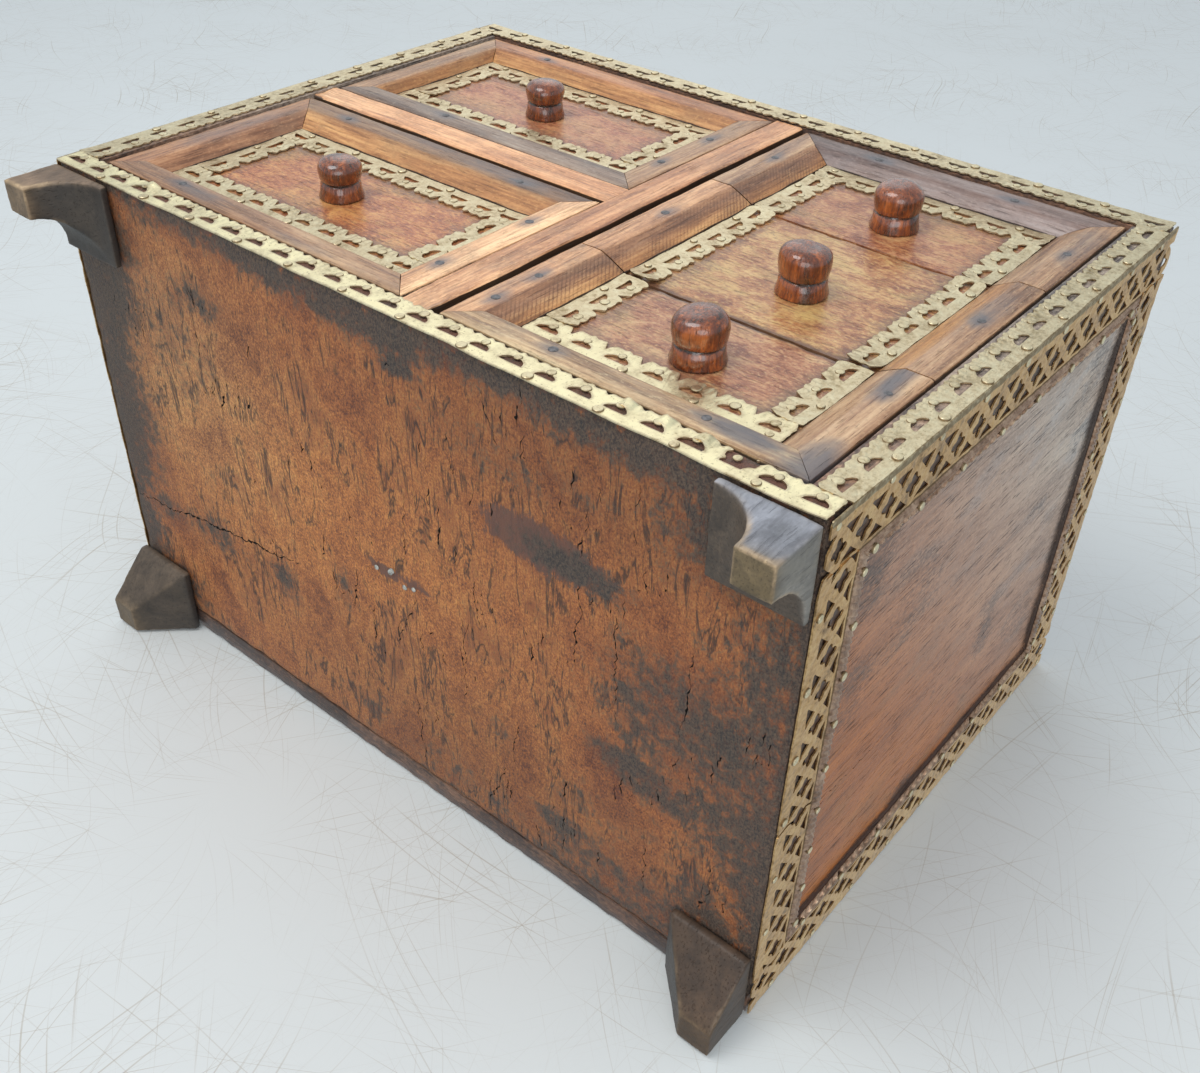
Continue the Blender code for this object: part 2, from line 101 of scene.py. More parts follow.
# Drawers: name, and the sides of its front that carry a moulding
DRAWERS = {
    "upper_left": ("bottom", "right", "top", "left"),
    "lower_left": ("bottom", "right", "top", "left"),
    "upper_right": ("right", "top", "left"),
    "middle_right": ("right", "left"),
    "lower_right": ("left", "bottom", "right"),
}
SIDES = ("bottom", "right", "top", "left")
FRONTWARD = (0, -1, 0)
DOWNWARD = (0, 0, -1)


def srgb(red, green, blue):
    """A colour given as 0 to 255 on a screen, in linear values with an alpha of 1."""
    shares = np.array((red, green, blue)) / 255
    linear = np.where(shares <= 0.04045, shares / 12.92, ((shares + 0.055) / 1.055) ** 2.4)
    return (*(float(value) for value in linear), 1.0)


def tint_of(colour, base):
    """What turns the base colour of a wood into another colour."""
    return np.array(srgb(*colour)[:3]) / srgb(*base)[:3]


def towards(first, second, share):
    return first + (second - first) * share


class Shader:
    """The node tree of a material or a world, with a short call for each kind of node."""

    def __init__(self, holder):
        self.holder = holder
        holder.use_nodes = True
        self.tree = holder.node_tree
        self.surface = self.tree.nodes.get("Principled BSDF")

    def feed(self, socket, value):
        if isinstance(value, bpy.types.NodeSocket):
            self.tree.links.new(value, socket)
        else:
            socket.default_value = value

    def node(self, kind, *values, **settings):
        """Make a node, set its properties, and feed its inputs in order. None leaves an input alone."""
        node = self.tree.nodes.new("ShaderNode" + kind)
        for name, value in settings.items():
            setattr(node, name, value)
        for socket, value in zip(node.inputs, values):
            if value is not None:
                self.feed(socket, value)
        return node

    def attribute(self, name, output="Fac"):
        return self.node("Attribute", attribute_name=name).outputs[output]

    def place(self):
        return self.node("TexCoord").outputs["Object"]

    def noise(self, vector, waves, detail=4.0, roughness=0.55, distortion=0.0):
        """Noise with a number of waves for each unit of the three axes."""
        scaled = self.node("VectorMath", vector, waves, operation="MULTIPLY").outputs[0]
        settings = {"Vector": scaled, "Scale": 1.0, "Detail": detail, "Roughness": roughness,
                    "Distortion": distortion}
        node = self.node("TexNoise")
        for name, value in settings.items():
            self.feed(node.inputs[name], value)
        return node.outputs[0]

    def range(self, value, low, high, to_low=0.0, to_high=1.0):
        return self.node("MapRange", value, low, high, to_low, to_high).outputs[0]

    def math(self, operation, *values):
        return self.node("Math", *values, operation=operation).outputs[0]

    def sum(self, base, *parts):
        """A base, plus each value times its factor."""
        for value, factor in parts:
            base = self.math("MULTIPLY_ADD", value, factor, base)
        return base

    def times(self, first, second):
        return self.math("MULTIPLY", first, second)

    def mix(self, share, first, second, blend="MIX"):
        node = self.node("Mix", data_type="RGBA", blend_type=blend)
        self.feed(node.inputs[0], share)
        self.feed(node.inputs[6], first)
        self.feed(node.inputs[7], second)
        return node.outputs[2]

    def lay(self, colour, tone, value, low, high, most=1.0):
        """Lay a tone over a colour: not where a value is low, and up to the most where it is high."""
        return self.mix(self.range(value, low, high, 0.0, most), colour, tone)

    def ramp(self, value, stops):
        node = self.node("ValToRGB", value)
        elements = node.color_ramp.elements
        while len(elements) < len(stops):
            elements.new(1.0)
        for element, (position, colour) in zip(elements, stops):
            element.position = position
            element.color = colour
        return node.outputs[0]

    def bump(self, height, distance):
        node = self.node("Bump")
        self.feed(node.inputs["Distance"], distance)
        self.feed(node.inputs["Height"], height)
        return node.outputs[0]

    def finish(self, **values):
        """Feed the surface, with spaces in the socket names written as underscores."""
        for name, value in values.items():
            self.feed(self.surface.inputs[name.replace("_", " ")], value)
        return self.holder


def new_shader(name):
    return Shader(bpy.data.materials.new(name))


# Grain of the woods, in waves for each metre: along the grain, then across it
FIBRE = (26, 620, 620)
PORES = (75, 1150, 1150)
PATCHES = (24, 42, 42)
FLECKS = (420, 700, 700)
SAW_MARKS = (2400, -3000, 0)
# Colours of stains on wood, and of dull and polished metal
STAIN_COLOUR = (84, 83, 88)
DULL_METAL = (122, 101, 74)
POLISHED_METAL = (255, 240, 196)
METAL_RELIEF = 0.0004
BOTTOM_BUMP = 0.0013


def soiled_and_shaded(shader, colour, dirt_and_shade, patches, flecks):
    """Lay dirt and painted shade over a colour, ragged and broken at the border of each dark place."""
    ragged = shader.sum(shader.attribute("dirt_and_shade"), (patches, 1.3), (flecks, 0.9))
    thin = (*(min(1.0, 1.8 * value) for value in dirt_and_shade[:3]), 1.0)
    grime_and_shade_colour = shader.lay(dirt_and_shade, thin, flecks, 0.35, 0.65)
    return shader.lay(colour, grime_and_shade_colour, ragged, 1.35, 1.95, 0.92)


def marked(shader, colour, grain, dark, dirt_and_shade, patches, flecks):
    """Saw marks, a tint, dirt and painted shade, and stains, where the mesh says so."""
    sawn = shader.node("VectorMath", grain, SAW_MARKS, operation="DOT_PRODUCT").outputs["Value"]
    sawn = shader.math("SINE", shader.sum(sawn, (flecks, 4.0)))
    sawn = shader.times(shader.range(sawn, 0.0, 0.9, 0.0, 0.75), shader.range(patches, 0.38, 0.58))
    colour = shader.mix(shader.times(sawn, shader.attribute("saw")), colour, dark)
    colour = shader.mix(1.0, colour, shader.attribute("tint", "Color"), "MULTIPLY")
    colour = soiled_and_shaded(shader, colour, dirt_and_shade, patches, flecks)
    spotted = shader.sum(shader.attribute("stain"), (patches, 0.9))
    return shader.lay(colour, srgb(*STAIN_COLOUR), spotted, 0.65, 1.35, 0.85)


def wood(name, palette, roughness, coat, figure=(5, 46), fibres=FIBRE, pore=0.55, speckle=0.35,
         relief=0.0004, spread=0.16, varnish=0.22, gloss=0.5, vector=None):
    """Old wood. Its grain runs along the first of the grain coordinates that the mesh carries. The mesh also
    says where it has dirt and painted shade, stains and saw marks, and tints it, in places with painted
    light."""
    shader = new_shader(name)
    dark, middle, light, worn, dirt_and_shade = (srgb(*colour) for colour in palette)
    grain = vector(shader) if vector else shader.attribute("grain", "Vector")
    along, across = figure
    broad = shader.noise(grain, (along, across, across), 5, 0.6, 0.7)
    fibre = shader.noise(grain, fibres, 4, 0.65)
    pores = shader.noise(grain, PORES, 2, 0.5)
    patches = shader.noise(grain, PATCHES, 7, 0.68, 0.3)
    flecks = shader.noise(grain, FLECKS, 3, 0.6)
    tone = shader.sum(shader.times(fibre, 0.38), (broad, 0.62))
    colour = shader.ramp(tone, [(0.5 - spread, dark), (0.5, middle), (0.5 + spread, light)])
    colour = shader.lay(colour, worn, patches, 0.50, 0.66, 0.75)
    colour = shader.lay(colour, dark, flecks, 0.55, 0.70, speckle)
    colour = shader.lay(colour, light, flecks, 0.45, 0.32, speckle)
    pore_share = shader.range(pores, 0.60, 0.70)
    colour = shader.mix(shader.times(pore_share, pore), colour, dirt_and_shade)
    if not vector:
        colour = marked(shader, colour, grain, dark, dirt_and_shade, patches, flecks)
    rough = shader.sum(roughness - 0.1, (fibre, 0.25), (pore_share, 0.2))
    height = shader.sum(shader.times(fibre, 0.7), (pore_share, -0.8))
    return shader.finish(
        Base_Color=colour,
        Roughness=rough,
        Specular_IOR_Level=gloss,
        Coat_Weight=coat,
        Coat_Roughness=varnish,
        Normal=shader.bump(height, relief),
    )


def metal(name, tarnish, middle, bright, roughness):
    """Old sheet metal, dull where dirt lies along its edges and where the mesh asks for painted shade, and
    brighter on its high spots.
    """
    shader = new_shader(name)
    place = shader.place()
    clouds = shader.noise(place, (70, 70, 70), 6, 0.65)
    grime = shader.noise(place, (420, 420, 420), 4, 0.6)
    scratches = shader.noise(place, (900, 160, 500), 3, 0.5)
    tone = shader.sum(shader.times(clouds, 0.55), (grime, 0.45))
    colour = shader.ramp(tone, [(0.32, srgb(*tarnish)), (0.48, srgb(*middle)), (0.66, srgb(*bright))])
    bare = shader.sum(shader.attribute("edge"), (grime, 0.9))
    dull = shader.range(bare, 0.35, 0.85, 0.8, 0.0)
    colour = shader.mix(dull, colour, srgb(*DULL_METAL))
    polish = shader.range(shader.attribute("edge"), 1.05, 1.8, 0.0, 0.95)
    polish = shader.times(polish, shader.range(clouds, 0.38, 0.56, 0.45, 1.0))
    colour = shader.mix(polish, colour, srgb(*POLISHED_METAL))
    spots = shader.noise(place, (800, 800, 800), 5, 0.7)
    colour = shader.lay(colour, srgb(*tarnish), spots, 0.58, 0.66, 0.6)
    rough = shader.sum(roughness - 0.15, (clouds, 0.3), (dull, 0.3))
    height = shader.sum(clouds, (scratches, 0.5))
    return shader.finish(
        Base_Color=colour, Metallic=1.0, Roughness=rough, Normal=shader.bump(height, METAL_RELIEF)
    )


def plain(name, colour, roughness):
    """Dirt in cracks, old iron and flecks of paint: one colour, with a little variation."""
    shader = new_shader(name)
    speckle = shader.noise(shader.place(), (600, 600, 600), 3)
    shade = shader.ramp(speckle, [(0.3, srgb(*colour)), (0.75, srgb(*(2 * value for value in colour)))])
    return shader.finish(Base_Color=shade, Roughness=roughness)


def scoured_wood():
    """The underside: orange wood worn bare, with dashes and hair cracks across the board, grey with dirt,
    with painted shade along its rim and a painted reflection in one place.
    """
    shader = new_shader("bottom_wood")
    grain = shader.attribute("grain", "Vector")
    mottle = shader.noise(grain, (1150, 760, 760), 5, 0.7, 0.4)
    islands = shader.noise(grain, (200, 165, 180), 8, 0.74, 0.4)
    clouds = shader.noise(grain, (34, 24, 24), 8, 0.68, 0.3)
    specks = shader.noise(grain, (1100, 330, 600), 3, 0.6)
    lines = shader.noise(grain, (760, 95, 200), 4, 0.65, 0.5)
    hair = shader.noise(grain, (95, 17, 40), 4, 0.62, 0.6)
    from_line = shader.math("ABSOLUTE", shader.math("SUBTRACT", hair, 0.5))
    thin = shader.range(from_line, 0.006, 0.03, 1.0, 0.0)
    thin = shader.times(thin, shader.range(clouds, 0.47, 0.53, 0.0, 0.8))
    tone = shader.sum(shader.times(clouds, 0.4), (mottle, 0.46), (islands, 0.14))
    colour = shader.ramp(
        tone, [(0.40, srgb(112, 54, 26)), (0.50, srgb(204, 126, 66)), (0.60, srgb(246, 178, 100))]
    )
    colour = shader.lay(colour, srgb(142, 66, 34), clouds, 0.53, 0.64, 0.65)
    colour = shader.lay(colour, srgb(84, 52, 36), specks, 0.57, 0.68, 0.6)
    clustered = shader.range(clouds, 0.46, 0.54, 0.15, 0.9)
    dashes = shader.times(shader.range(lines, 0.57, 0.68), clustered)
    colour = shader.mix(dashes, colour, srgb(56, 36, 27))
    colour = shader.mix(1.0, colour, shader.attribute("tint", "Color"), "MULTIPLY")
    colour = shader.mix(thin, colour, srgb(42, 26, 20))
    uneven = shader.sum(-2.9, (clouds, 1.8), (islands, 2.6), (mottle, 1.4))
    ragged = shader.sum(shader.attribute("stain"), (lines, 0.8), (uneven, 0.5))
    colour = shader.lay(colour, srgb(112, 76, 62), ragged, 0.88, 0.96, 0.9)
    # Dirt, and painted shade along the rim, laid over in grime colours
    soil_and_shade = shader.sum(shader.attribute("dirt_and_shade"), (uneven, 0.75))
    grime = shader.mix(shader.range(mottle, 0.4, 0.6), srgb(34, 32, 31), srgb(104, 88, 73))
    colour = shader.lay(colour, grime, soil_and_shade, 0.32, 0.66, 0.94)
    height = shader.sum(mottle, (specks, -0.6), (lines, -0.8))
    rough = shader.range(mottle, 0.3, 0.7, 0.45, 0.7)
    return shader.finish(
        Base_Color=colour, Roughness=rough, Coat_Weight=0.08, Coat_Roughness=0.35,
        Normal=shader.bump(height, BOTTOM_BUMP),
    )


# Base colours that the tints of the mouldings and feet start from
MOULDING_BASE = (168, 114, 76)
FOOT_BASE = (92, 80, 70)

BOTTOM_WOOD = scoured_wood()
SIDE_WOOD = wood(
    "side_wood",
    ((112, 80, 62), (156, 114, 90), (182, 140, 112), (150, 120, 104), (50, 40, 36)),
    0.42, 0.12, figure=(9, 44), pore=0.7, speckle=0.5, spread=0.17, gloss=0.32,
)
PANEL_WOOD = wood(
    "panel_wood",
    ((136, 66, 36), (192, 116, 70), (226, 164, 104), (220, 166, 100), (84, 58, 42)),
    0.34, 0.35, figure=(75, 115), fibres=(420, 800, 800), pore=0.3, speckle=0.65, spread=0.13,
)
MOULDING_WOOD = wood(
    "moulding_wood",
    ((112, 68, 42), MOULDING_BASE, (204, 152, 108), (146, 106, 76), (40, 30, 24)),
    0.40, 0.25, figure=(9, 60), pore=0.22, relief=0.0003, spread=0.12,
)
KNOB_WOOD = wood(
    "knob_wood",
    ((50, 22, 10), (110, 50, 18), (176, 94, 38), (112, 52, 20), (24, 13, 9)),
    0.22, 0.9, figure=(30, 110), pore=0.3, relief=0.0006, spread=0.12, varnish=0.12,
)
FOOT_WOOD = wood(
    "foot_wood",
    ((70, 60, 52), FOOT_BASE, (112, 98, 86), (104, 90, 76), (40, 34, 30)),
    0.6, 0.08, figure=(40, 90), fibres=(70, 420, 420), pore=0.05, speckle=0.3, relief=0.0003,
)
DRAWER_WOOD = wood(
    "drawer_wood",
    ((120, 84, 54), (165, 122, 82), (192, 152, 108), (150, 106, 70), (70, 52, 38)),
    0.7, 0.0, vector=Shader.place,
)
BRASS_SHEET = metal("brass_sheet", (156, 132, 95), (217, 197, 161), (236, 222, 188), 0.42)
LATTICE_SHEET = metal("lattice_brass", (120, 88, 50), (206, 162, 108), (232, 196, 142), 0.42)
COPPER = metal("copper_rope", (102, 78, 62), (164, 130, 108), (212, 180, 154), 0.45)
CRACK = plain("crack_dirt", (14, 10, 8), 0.9)
IRON = plain("old_iron", (58, 56, 56), 0.5)
PAINT = plain("white_paint", (104, 104, 98), 0.6)


class Face:
    """A flat stretch of surface: u runs along it, v across it and h out of it."""

    def __init__(self, origin, along, out, across=None):
        self.origin = np.array(origin, float)
        self.along = np.array(Vector(along).normalized(), float)
        self.out = np.array(out, float)
        self.across = np.cross(self.out, self.along) if across is None else np.array(across, float)

    def at(self, u, v, h):
        place = self.origin
        for distance, axis in ((u, self.along), (v, self.across), (h, self.out)):
            place = place + np.multiply.outer(distance, axis)
        return place


def runs(corners, out):
    """A face along each side of a rectangle, whose corners go anticlockwise as seen from outside."""
    faces = []
    for start, end in zip(corners, corners[1:] + corners[:1]):
        step = Vector(end) - Vector(start)
        faces.append((Face(start, step, out), step.length))
    return faces


def front_rectangle(left, right, low, high, level):
    return [(left, level, low), (right, level, low), (right, level, high), (left, level, high)]


def ripple(u, v, seed):
    """A smooth wander between -1 and 1, with waves about one unit long."""
    total = 0.0
    for turn in range(4):
        angle = 1.7 * seed + 2.4 * turn
        wave = (u * math.cos(angle) + v * math.sin(angle)) * (1.0 + 0.37 * turn)
        total = total + np.sin(2 * math.pi * wave + seed * (turn + 1))
    return total / 4


def points_of(mesh):
    flat = np.empty(len(mesh.vertices) * 3, np.float32)
    mesh.vertices.foreach_get("co", flat)
    return flat.reshape(-1, 3).astype(float)


def set_floats(mesh, name, values):
    layer = mesh.attributes.new(name, "FLOAT", "POINT")
    layer.data.foreach_set("value", np.asarray(values, np.float32))


def set_vectors(mesh, name, values):
    layer = mesh.attributes.new(name, "FLOAT_VECTOR", "POINT")
    layer.data.foreach_set("vector", np.asarray(values, np.float32).ravel())


def paint(mesh, grain, dirt_and_shade=0.0, stain=0.0, tint=(1.0, 1.0, 1.0), saw=0.0):
    """Give a wooden mesh the grain coordinates, dirt and painted shade, stains, tint and saw marks that its
    material reads.
    """
    count = len(mesh.vertices)
    set_vectors(mesh, "grain", grain)
    for name, values in (("dirt_and_shade", dirt_and_shade), ("stain", stain), ("saw", saw)):
        set_floats(mesh, name, np.broadcast_to(values, count))
    set_vectors(mesh, "tint", np.broadcast_to(tint, (count, 3)))


def blobs(u, v, spots):
    """How strongly a set of soft spots covers each point. A spot is a place, two radii and a strength."""
    total = np.zeros_like(u)
    for at_u, at_v, radius_u, radius_v, strength in spots:
        distance = ((u - at_u) / radius_u) ** 2 + ((v - at_v) / radius_v) ** 2
        total = np.maximum(total, strength * np.exp(-0.9 * distance ** 1.4))
    return total


# Angle in degrees from which an edge of a mesh is sharp
SHARP = 35


def new_mesh(name, points, faces, sharp=SHARP):
    mesh = bpy.data.meshes.new(name)
    mesh.from_pydata([tuple(point) for point in points], [], faces)
    mesh.validate()
    mesh.shade_smooth()
    mesh.set_sharp_from_angle(angle=math.radians(sharp))
    return mesh


def link(name, data):
    """Show data, such as a mesh or a lamp, as an object of the scene."""
    shown = bpy.data.objects.new(name, data)
    bpy.context.scene.collection.objects.link(shown)
    return shown


def add_piece(name, mesh, body, material, slot, *nodes):
    """Show a mesh as a piece that rides on a body, in place of the given solids."""
    if not mesh.materials:
        mesh.materials.append(material)
    piece = link(name, mesh)
    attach(piece, body)
    if nodes:
        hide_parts(*nodes)


def applied(mesh, *modifiers):
    """A mesh with modifiers applied, each given as its type and its settings."""
    carrier = link("carrier", mesh)
    for kind, settings in modifiers:
        modifier = carrier.modifiers.new(kind.lower(), kind)
        for name, value in settings.items():
            setattr(modifier, name, value)
    bpy.context.view_layer.update()
    graph = bpy.context.evaluated_depsgraph_get()
    result = bpy.data.meshes.new_from_object(carrier.evaluated_get(graph))
    bpy.data.objects.remove(carrier)
    return result


def ring(start, count):
    """The points of one ring, as a face."""
    return tuple(range(start, start + count))


def tube(start, count, stations, flip=False):
    """Faces between rings of points that follow each other. flip turns them the other way round."""
    faces = []
    for base in range(start, start + (stations - 1) * count, count):
        for corner in range(count):
            beside = (corner + 1) % count
            face = (base + corner, base + beside, base + count + beside, base + count + corner)
            faces.append((face[0], *face[:0:-1]) if flip else face)
    return faces


def divide(low, high, cell, *stops):
    """Grid lines from low to high, about a cell apart, that include the stops."""
    lines = [low]
    for end in (*sorted(stops), high):
        count = max(1, round((end - lines[-1]) / cell))
        lines += list(np.linspace(lines[-1], end, count + 1)[1:])
    return lines


def grid_box(lines):
    """Points and faces of a closed box, with each face cut along the grid lines of the three axes."""
    places = {}
    points = []
    faces = []

    def corner(key):
        if key not in places:
            places[key] = len(points)
            points.append([lines[axis][key[axis]] for axis in range(3)])
        return places[key]

    for axis in range(3):
        first = (axis + 1) % 3
        second = (axis + 2) % 3
        last = len(lines[axis]) - 1
        for end in (0, last):
            for i in range(len(lines[first]) - 1):
                for j in range(len(lines[second]) - 1):
                    face = []
                    for step_i, step_j in ((0, 0), (1, 0), (1, 1), (0, 1)):
                        key = [end, end, end]
                        key[first] = i + step_i
                        key[second] = j + step_j
                        face.append(corner(tuple(key)))
                    faces.append(face if end else face[::-1])
    return np.array(points), faces


EDGE_WEAR = 0.0009
# Two places closer than this are the same
TOUCH = 1e-6
NEAR = 1e-5


def eased(points, low, high):
    """Round the edges of a box a little and unevenly, always inwards."""
    points = points.copy()
    on_face = [(np.abs(points[:, axis] - low[axis]) < TOUCH, np.abs(points[:, axis] - high[axis]) < TOUCH)
               for axis in range(3)]
    touching = sum((near | far).astype(int) for near, far in on_face)
    wear = EDGE_WEAR * (0.65 + 0.35 * ripple(points.sum(1) * 40, points[:, 0] * 25, 1.0))
    for axis in range(3):
        near, far = on_face[axis]
        edge = touching > 1
        points[:, axis] += np.where(near & edge, wear, 0) - np.where(far & edge, wear, 0)
    return points


CRACK_STEP = 0.0014
CRACK_WANDER = 0.0009
DRIFT_KEPT = 0.8
CRACK_DEPTH = 0.0022
CRACK_RISE = 0.0004
# Half the width from which a crack has its full depth
FULL_DEPTH_HALF = 0.0003


def crack_cutter(face, cracks, seed):
    """One mesh of closed wedges along wandering lines. A crack is a start, a run in u and v, and a width."""
    chance = random.Random(seed)
    points = []
    faces = []
    for start_u, start_v, run_u, run_v, width in cracks:
        length = math.hypot(run_u, run_v)
        steps = max(4, round(length / CRACK_STEP))
        side = (-run_v / length, run_u / length)
        first = len(points)
        drift = 0.0
        for step in range(steps + 1):
            share = step / steps
            drift = DRIFT_KEPT * drift + chance.uniform(-1, 1) * CRACK_WANDER
            half = width / 2 * math.sin(math.pi * share) ** 0.5 * (0.3 + 1.1 * chance.random() ** 3)
            u = start_u + run_u * share + side[0] * drift
            v = start_v + run_v * share + side[1] * drift
            if step in (0, steps):
                points.append(face.at(u, v, CRACK_RISE))
                continue
            for turn in (-half, half):
                points.append(face.at(u + side[0] * turn, v + side[1] * turn, CRACK_RISE))
            points.append(face.at(u, v, -CRACK_DEPTH * min(1.0, half / FULL_DEPTH_HALF)))
        faces += tube(first + 1, 3, steps - 1)
        last = len(points) - 1
        for corner in range(3):
            beside = (corner + 1) % 3
            faces.append((first, first + 1 + beside, first + 1 + corner))
            faces.append((last, last - 3 + corner, last - 3 + beside))
    mesh = bpy.data.meshes.new("cracks")
    mesh.from_pydata([tuple(point) for point in points], [], faces)
    shape = bmesh.new()
    shape.from_mesh(mesh)
    bmesh.ops.recalc_face_normals(shape, faces=shape.faces)
    shape.to_mesh(mesh)
    shape.free()
    mesh.materials.append(CRACK)
    return mesh


def cracked(mesh, material, cutter):
    """Cut cracks into a board."""
    mesh.materials.append(material)
    tool = link("cracks", cutter)
    settings = {
        "operation": "DIFFERENCE",
        "solver": "EXACT",
        "use_self": True,
        "object": tool,
        "material_mode": "TRANSFER",
    }
    result = applied(mesh, ("BOOLEAN", settings))
    bpy.data.objects.remove(tool)
    return result


BOARD_CELL = 0.004


def board_lines(node, stops=((), (), ()), cell=BOARD_CELL):
    low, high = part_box(node)
    return [divide(low[axis], high[axis], cell, *stops[axis]) for axis in range(3)]


def mm(*values):
    return tuple(value / 1000 for value in values)


def spots_mm(u, v, spots):
    """How strongly soft spots cover each point, with their places and radii in mm."""
    return blobs(u, v, [mm(*spot[:4]) + spot[4:] for spot in spots])


# Bottom board: places in mm, x from the middle and y back from the front edge
BOTTOM_CRACKS = [
    (-216, 196, 150, -26, 2.2), (1, 182, 17, -38, 1.3), (10, 130, 4, -45, 0.9), (-30, 178, 8, -30, 1.6),
    (-15, 194, 1, -30, 1.0), (-49, 158, 4, -22, 1.4), (15, 257, -3, -48, 1.2), (59, 257, 13, -42, 1.2),
    (77, 212, 3, -30, 1.1), (46, 200, 3, -66, 0.9), (59, 138, -3, -26, 1.4), (113, 128, 2, -50, 1.3),
    (135, 158, -1, -76, 1.0), (167, 136, 4, -52, 1.2), (156, 242, -2, -44, 0.8), (96, 258, -4, -14, 1.6),
    (35, 104, 1, -13, 2.0), (108, 212, 2, -13, 1.8), (72, 36, -9, -24, 1.2), (82, 24, 1, -12, 1.8),
    (109, 40, 1, -12, 1.8), (114, 66, 1, -9, 2.4), (-124, 74, 0, -30, 1.2), (-113, 100, 3, -15, 2.2),
    (-151, 68, 0, -26, 1.2), (-178, 82, 0, -12, 1.4), (-85, 60, 2, -10, 2.0), (89, 140, 0, -12, 2.0),
    (187, 136, 2, -8, 1.8), (204, 112, 0, -10, 1.4), (185, 226, 2, -8, 2.2), (197, 218, 2, -12, 1.2),
    (140, 32, 1, -12, 1.2), (124, 38, 0, -8, 1.4), (-97, 134, 2, -4, 2.0), (-92, 88, 3, -6, 2.2),
]
BOTTOM_DIRT = [
    (-216, 130, 42, 80, 0.9), (-212, 56, 44, 46, 0.95), (-216, 220, 24, 60, 0.8), (-160, 0, 60, 16, 0.6),
    (0, 0, 260, 14, 0.9), (130, 2, 80, 18, 0.8), (0, 274, 260, 16, 0.7), (140, 268, 90, 24, 0.7),
    (182, 124, 50, 46, 0.68), (214, 170, 22, 90, 0.75), (216, 60, 14, 60, 0.5), (112, 76, 34, 10, 0.75),
    (-116, 40, 22, 12, 0.6), (-82, 188, 12, 14, 0.55), (-34, 164, 8, 18, 0.55), (72, 196, 11, 14, 0.4),
    (104, 236, 18, 8, 0.5), (22, 240, 12, 8, 0.5), (-186, 192, 26, 14, 0.62), (-140, 187, 26, 12, 0.55),
    (-186, 30, 30, 26, 0.75), (176, 26, 34, 30, 0.55), (190, 236, 34, 30, 0.6),
    (84, 40, 60, 14, 0.35), (170, 246, 50, 24, 0.65), (14, 23, 14, 5, 0.8), (-190, 250, 36, 20, 0.6),
    (200, 160, 34, 44, 0.62), (152, 172, 36, 11, 0.75), (164, 112, 24, 22, 0.7), (104, 232, 22, 9, 0.6),
    (-170, 60, 50, 40, 0.35), (60, 245, 130, 20, 0.35), (-130, 110, 20, 60, 0.25),
    (158, 126, 40, 44, 0.62), (146, 165, 32, 10, 0.9), (206, 120, 24, 100, 0.65), (128, 240, 50, 18, 0.55),
    (-8, 6, 80, 14, 0.8), (-204, 130, 34, 90, 0.6), (140, 200, 40, 30, 0.4),
]
BOTTOM_GLOW = [(-70, 130, 130, 60, 1.0), (60, 200, 110, 60, 0.5), (-60, 220, 120, 40, 0.5)]
BOTTOM_REFLECTION = [(-150, 80, 80, 70, 1.0)]
BOTTOM_DULL = [(130, 30, 110, 36, 1.0), (60, 230, 130, 50, 1.0)]
BOTTOM_STAINS = [(95, 74, 38, 13, 1.0), (128, 72, 14, 5, 0.6), (0, 138, 22, 5, 0.75), (20, 136, 12, 4, 0.75)]
PAINT_CHIPS = [(-8, 139), (1.4, 137), (2.6, 135.5), (10.7, 141), (16.7, 139)]
NAIL_HOLE = (9.2, 24.6, 3.4, -1.2, 3.0)
# Pits in clusters: where, how far they spread, and how many
PIT_CLUSTERS = [
    (-90, 172, 16, 16), (-40, 172, 10, 12), (0, 180, 16, 14), (20, 220, 12, 14), (70, 240, 14, 12),
    (110, 236, 16, 16), (150, 190, 18, 12), (190, 210, 14, 14), (56, 130, 14, 14), (100, 130, 12, 10),
    (-116, 92, 10, 16), (-176, 66, 14, 16), (-95, 90, 10, 10), (-60, 106, 20, 8), (30, 90, 18, 8),
    (110, 58, 14, 10), (130, 90, 10, 10), (200, 120, 10, 10), (80, 26, 12, 10), (-120, 46, 8, 10),
    (170, 160, 22, 10), (150, 60, 20, 8), (60, 60, 24, 8), (-20, 140, 24, 8), (40, 170, 20, 10),
]
PIT_LENGTHS = (1.5, 2.2, 3.0, 5.0, 9.0, 13.0)
PIT_SEED = 4
CRACK_SEED = 11
# Tint of the underside, and what glowing places, a painted pale reflection and dull places change of it
BASE_TINT = np.array((0.82, 0.78, 0.8))
GLOW_TINT = np.array((0.26, 0.32, 0.3))
REFLECTION_SHIFT = np.array((0.1, 0.38, 0.74))
DULL_LOSS = 0.22
BOTTOM_RELIEF = 0.0003
# How far the painted shade, with dirt, along the rim of the underside reaches
RIM_SHADE_REACH = 0.007
# The front edge of the board: how deep it is, its dirt and its stain
FRONT_RIM = 0.0005
FRONT_DIRT = 0.35
FRONT_STAIN = 1.3
# Flecks of paint: radius and height, and how far they stand out
CHIP_HEAD = (0.0013, 0.0004)
CHIP_LEVEL = 0.0002


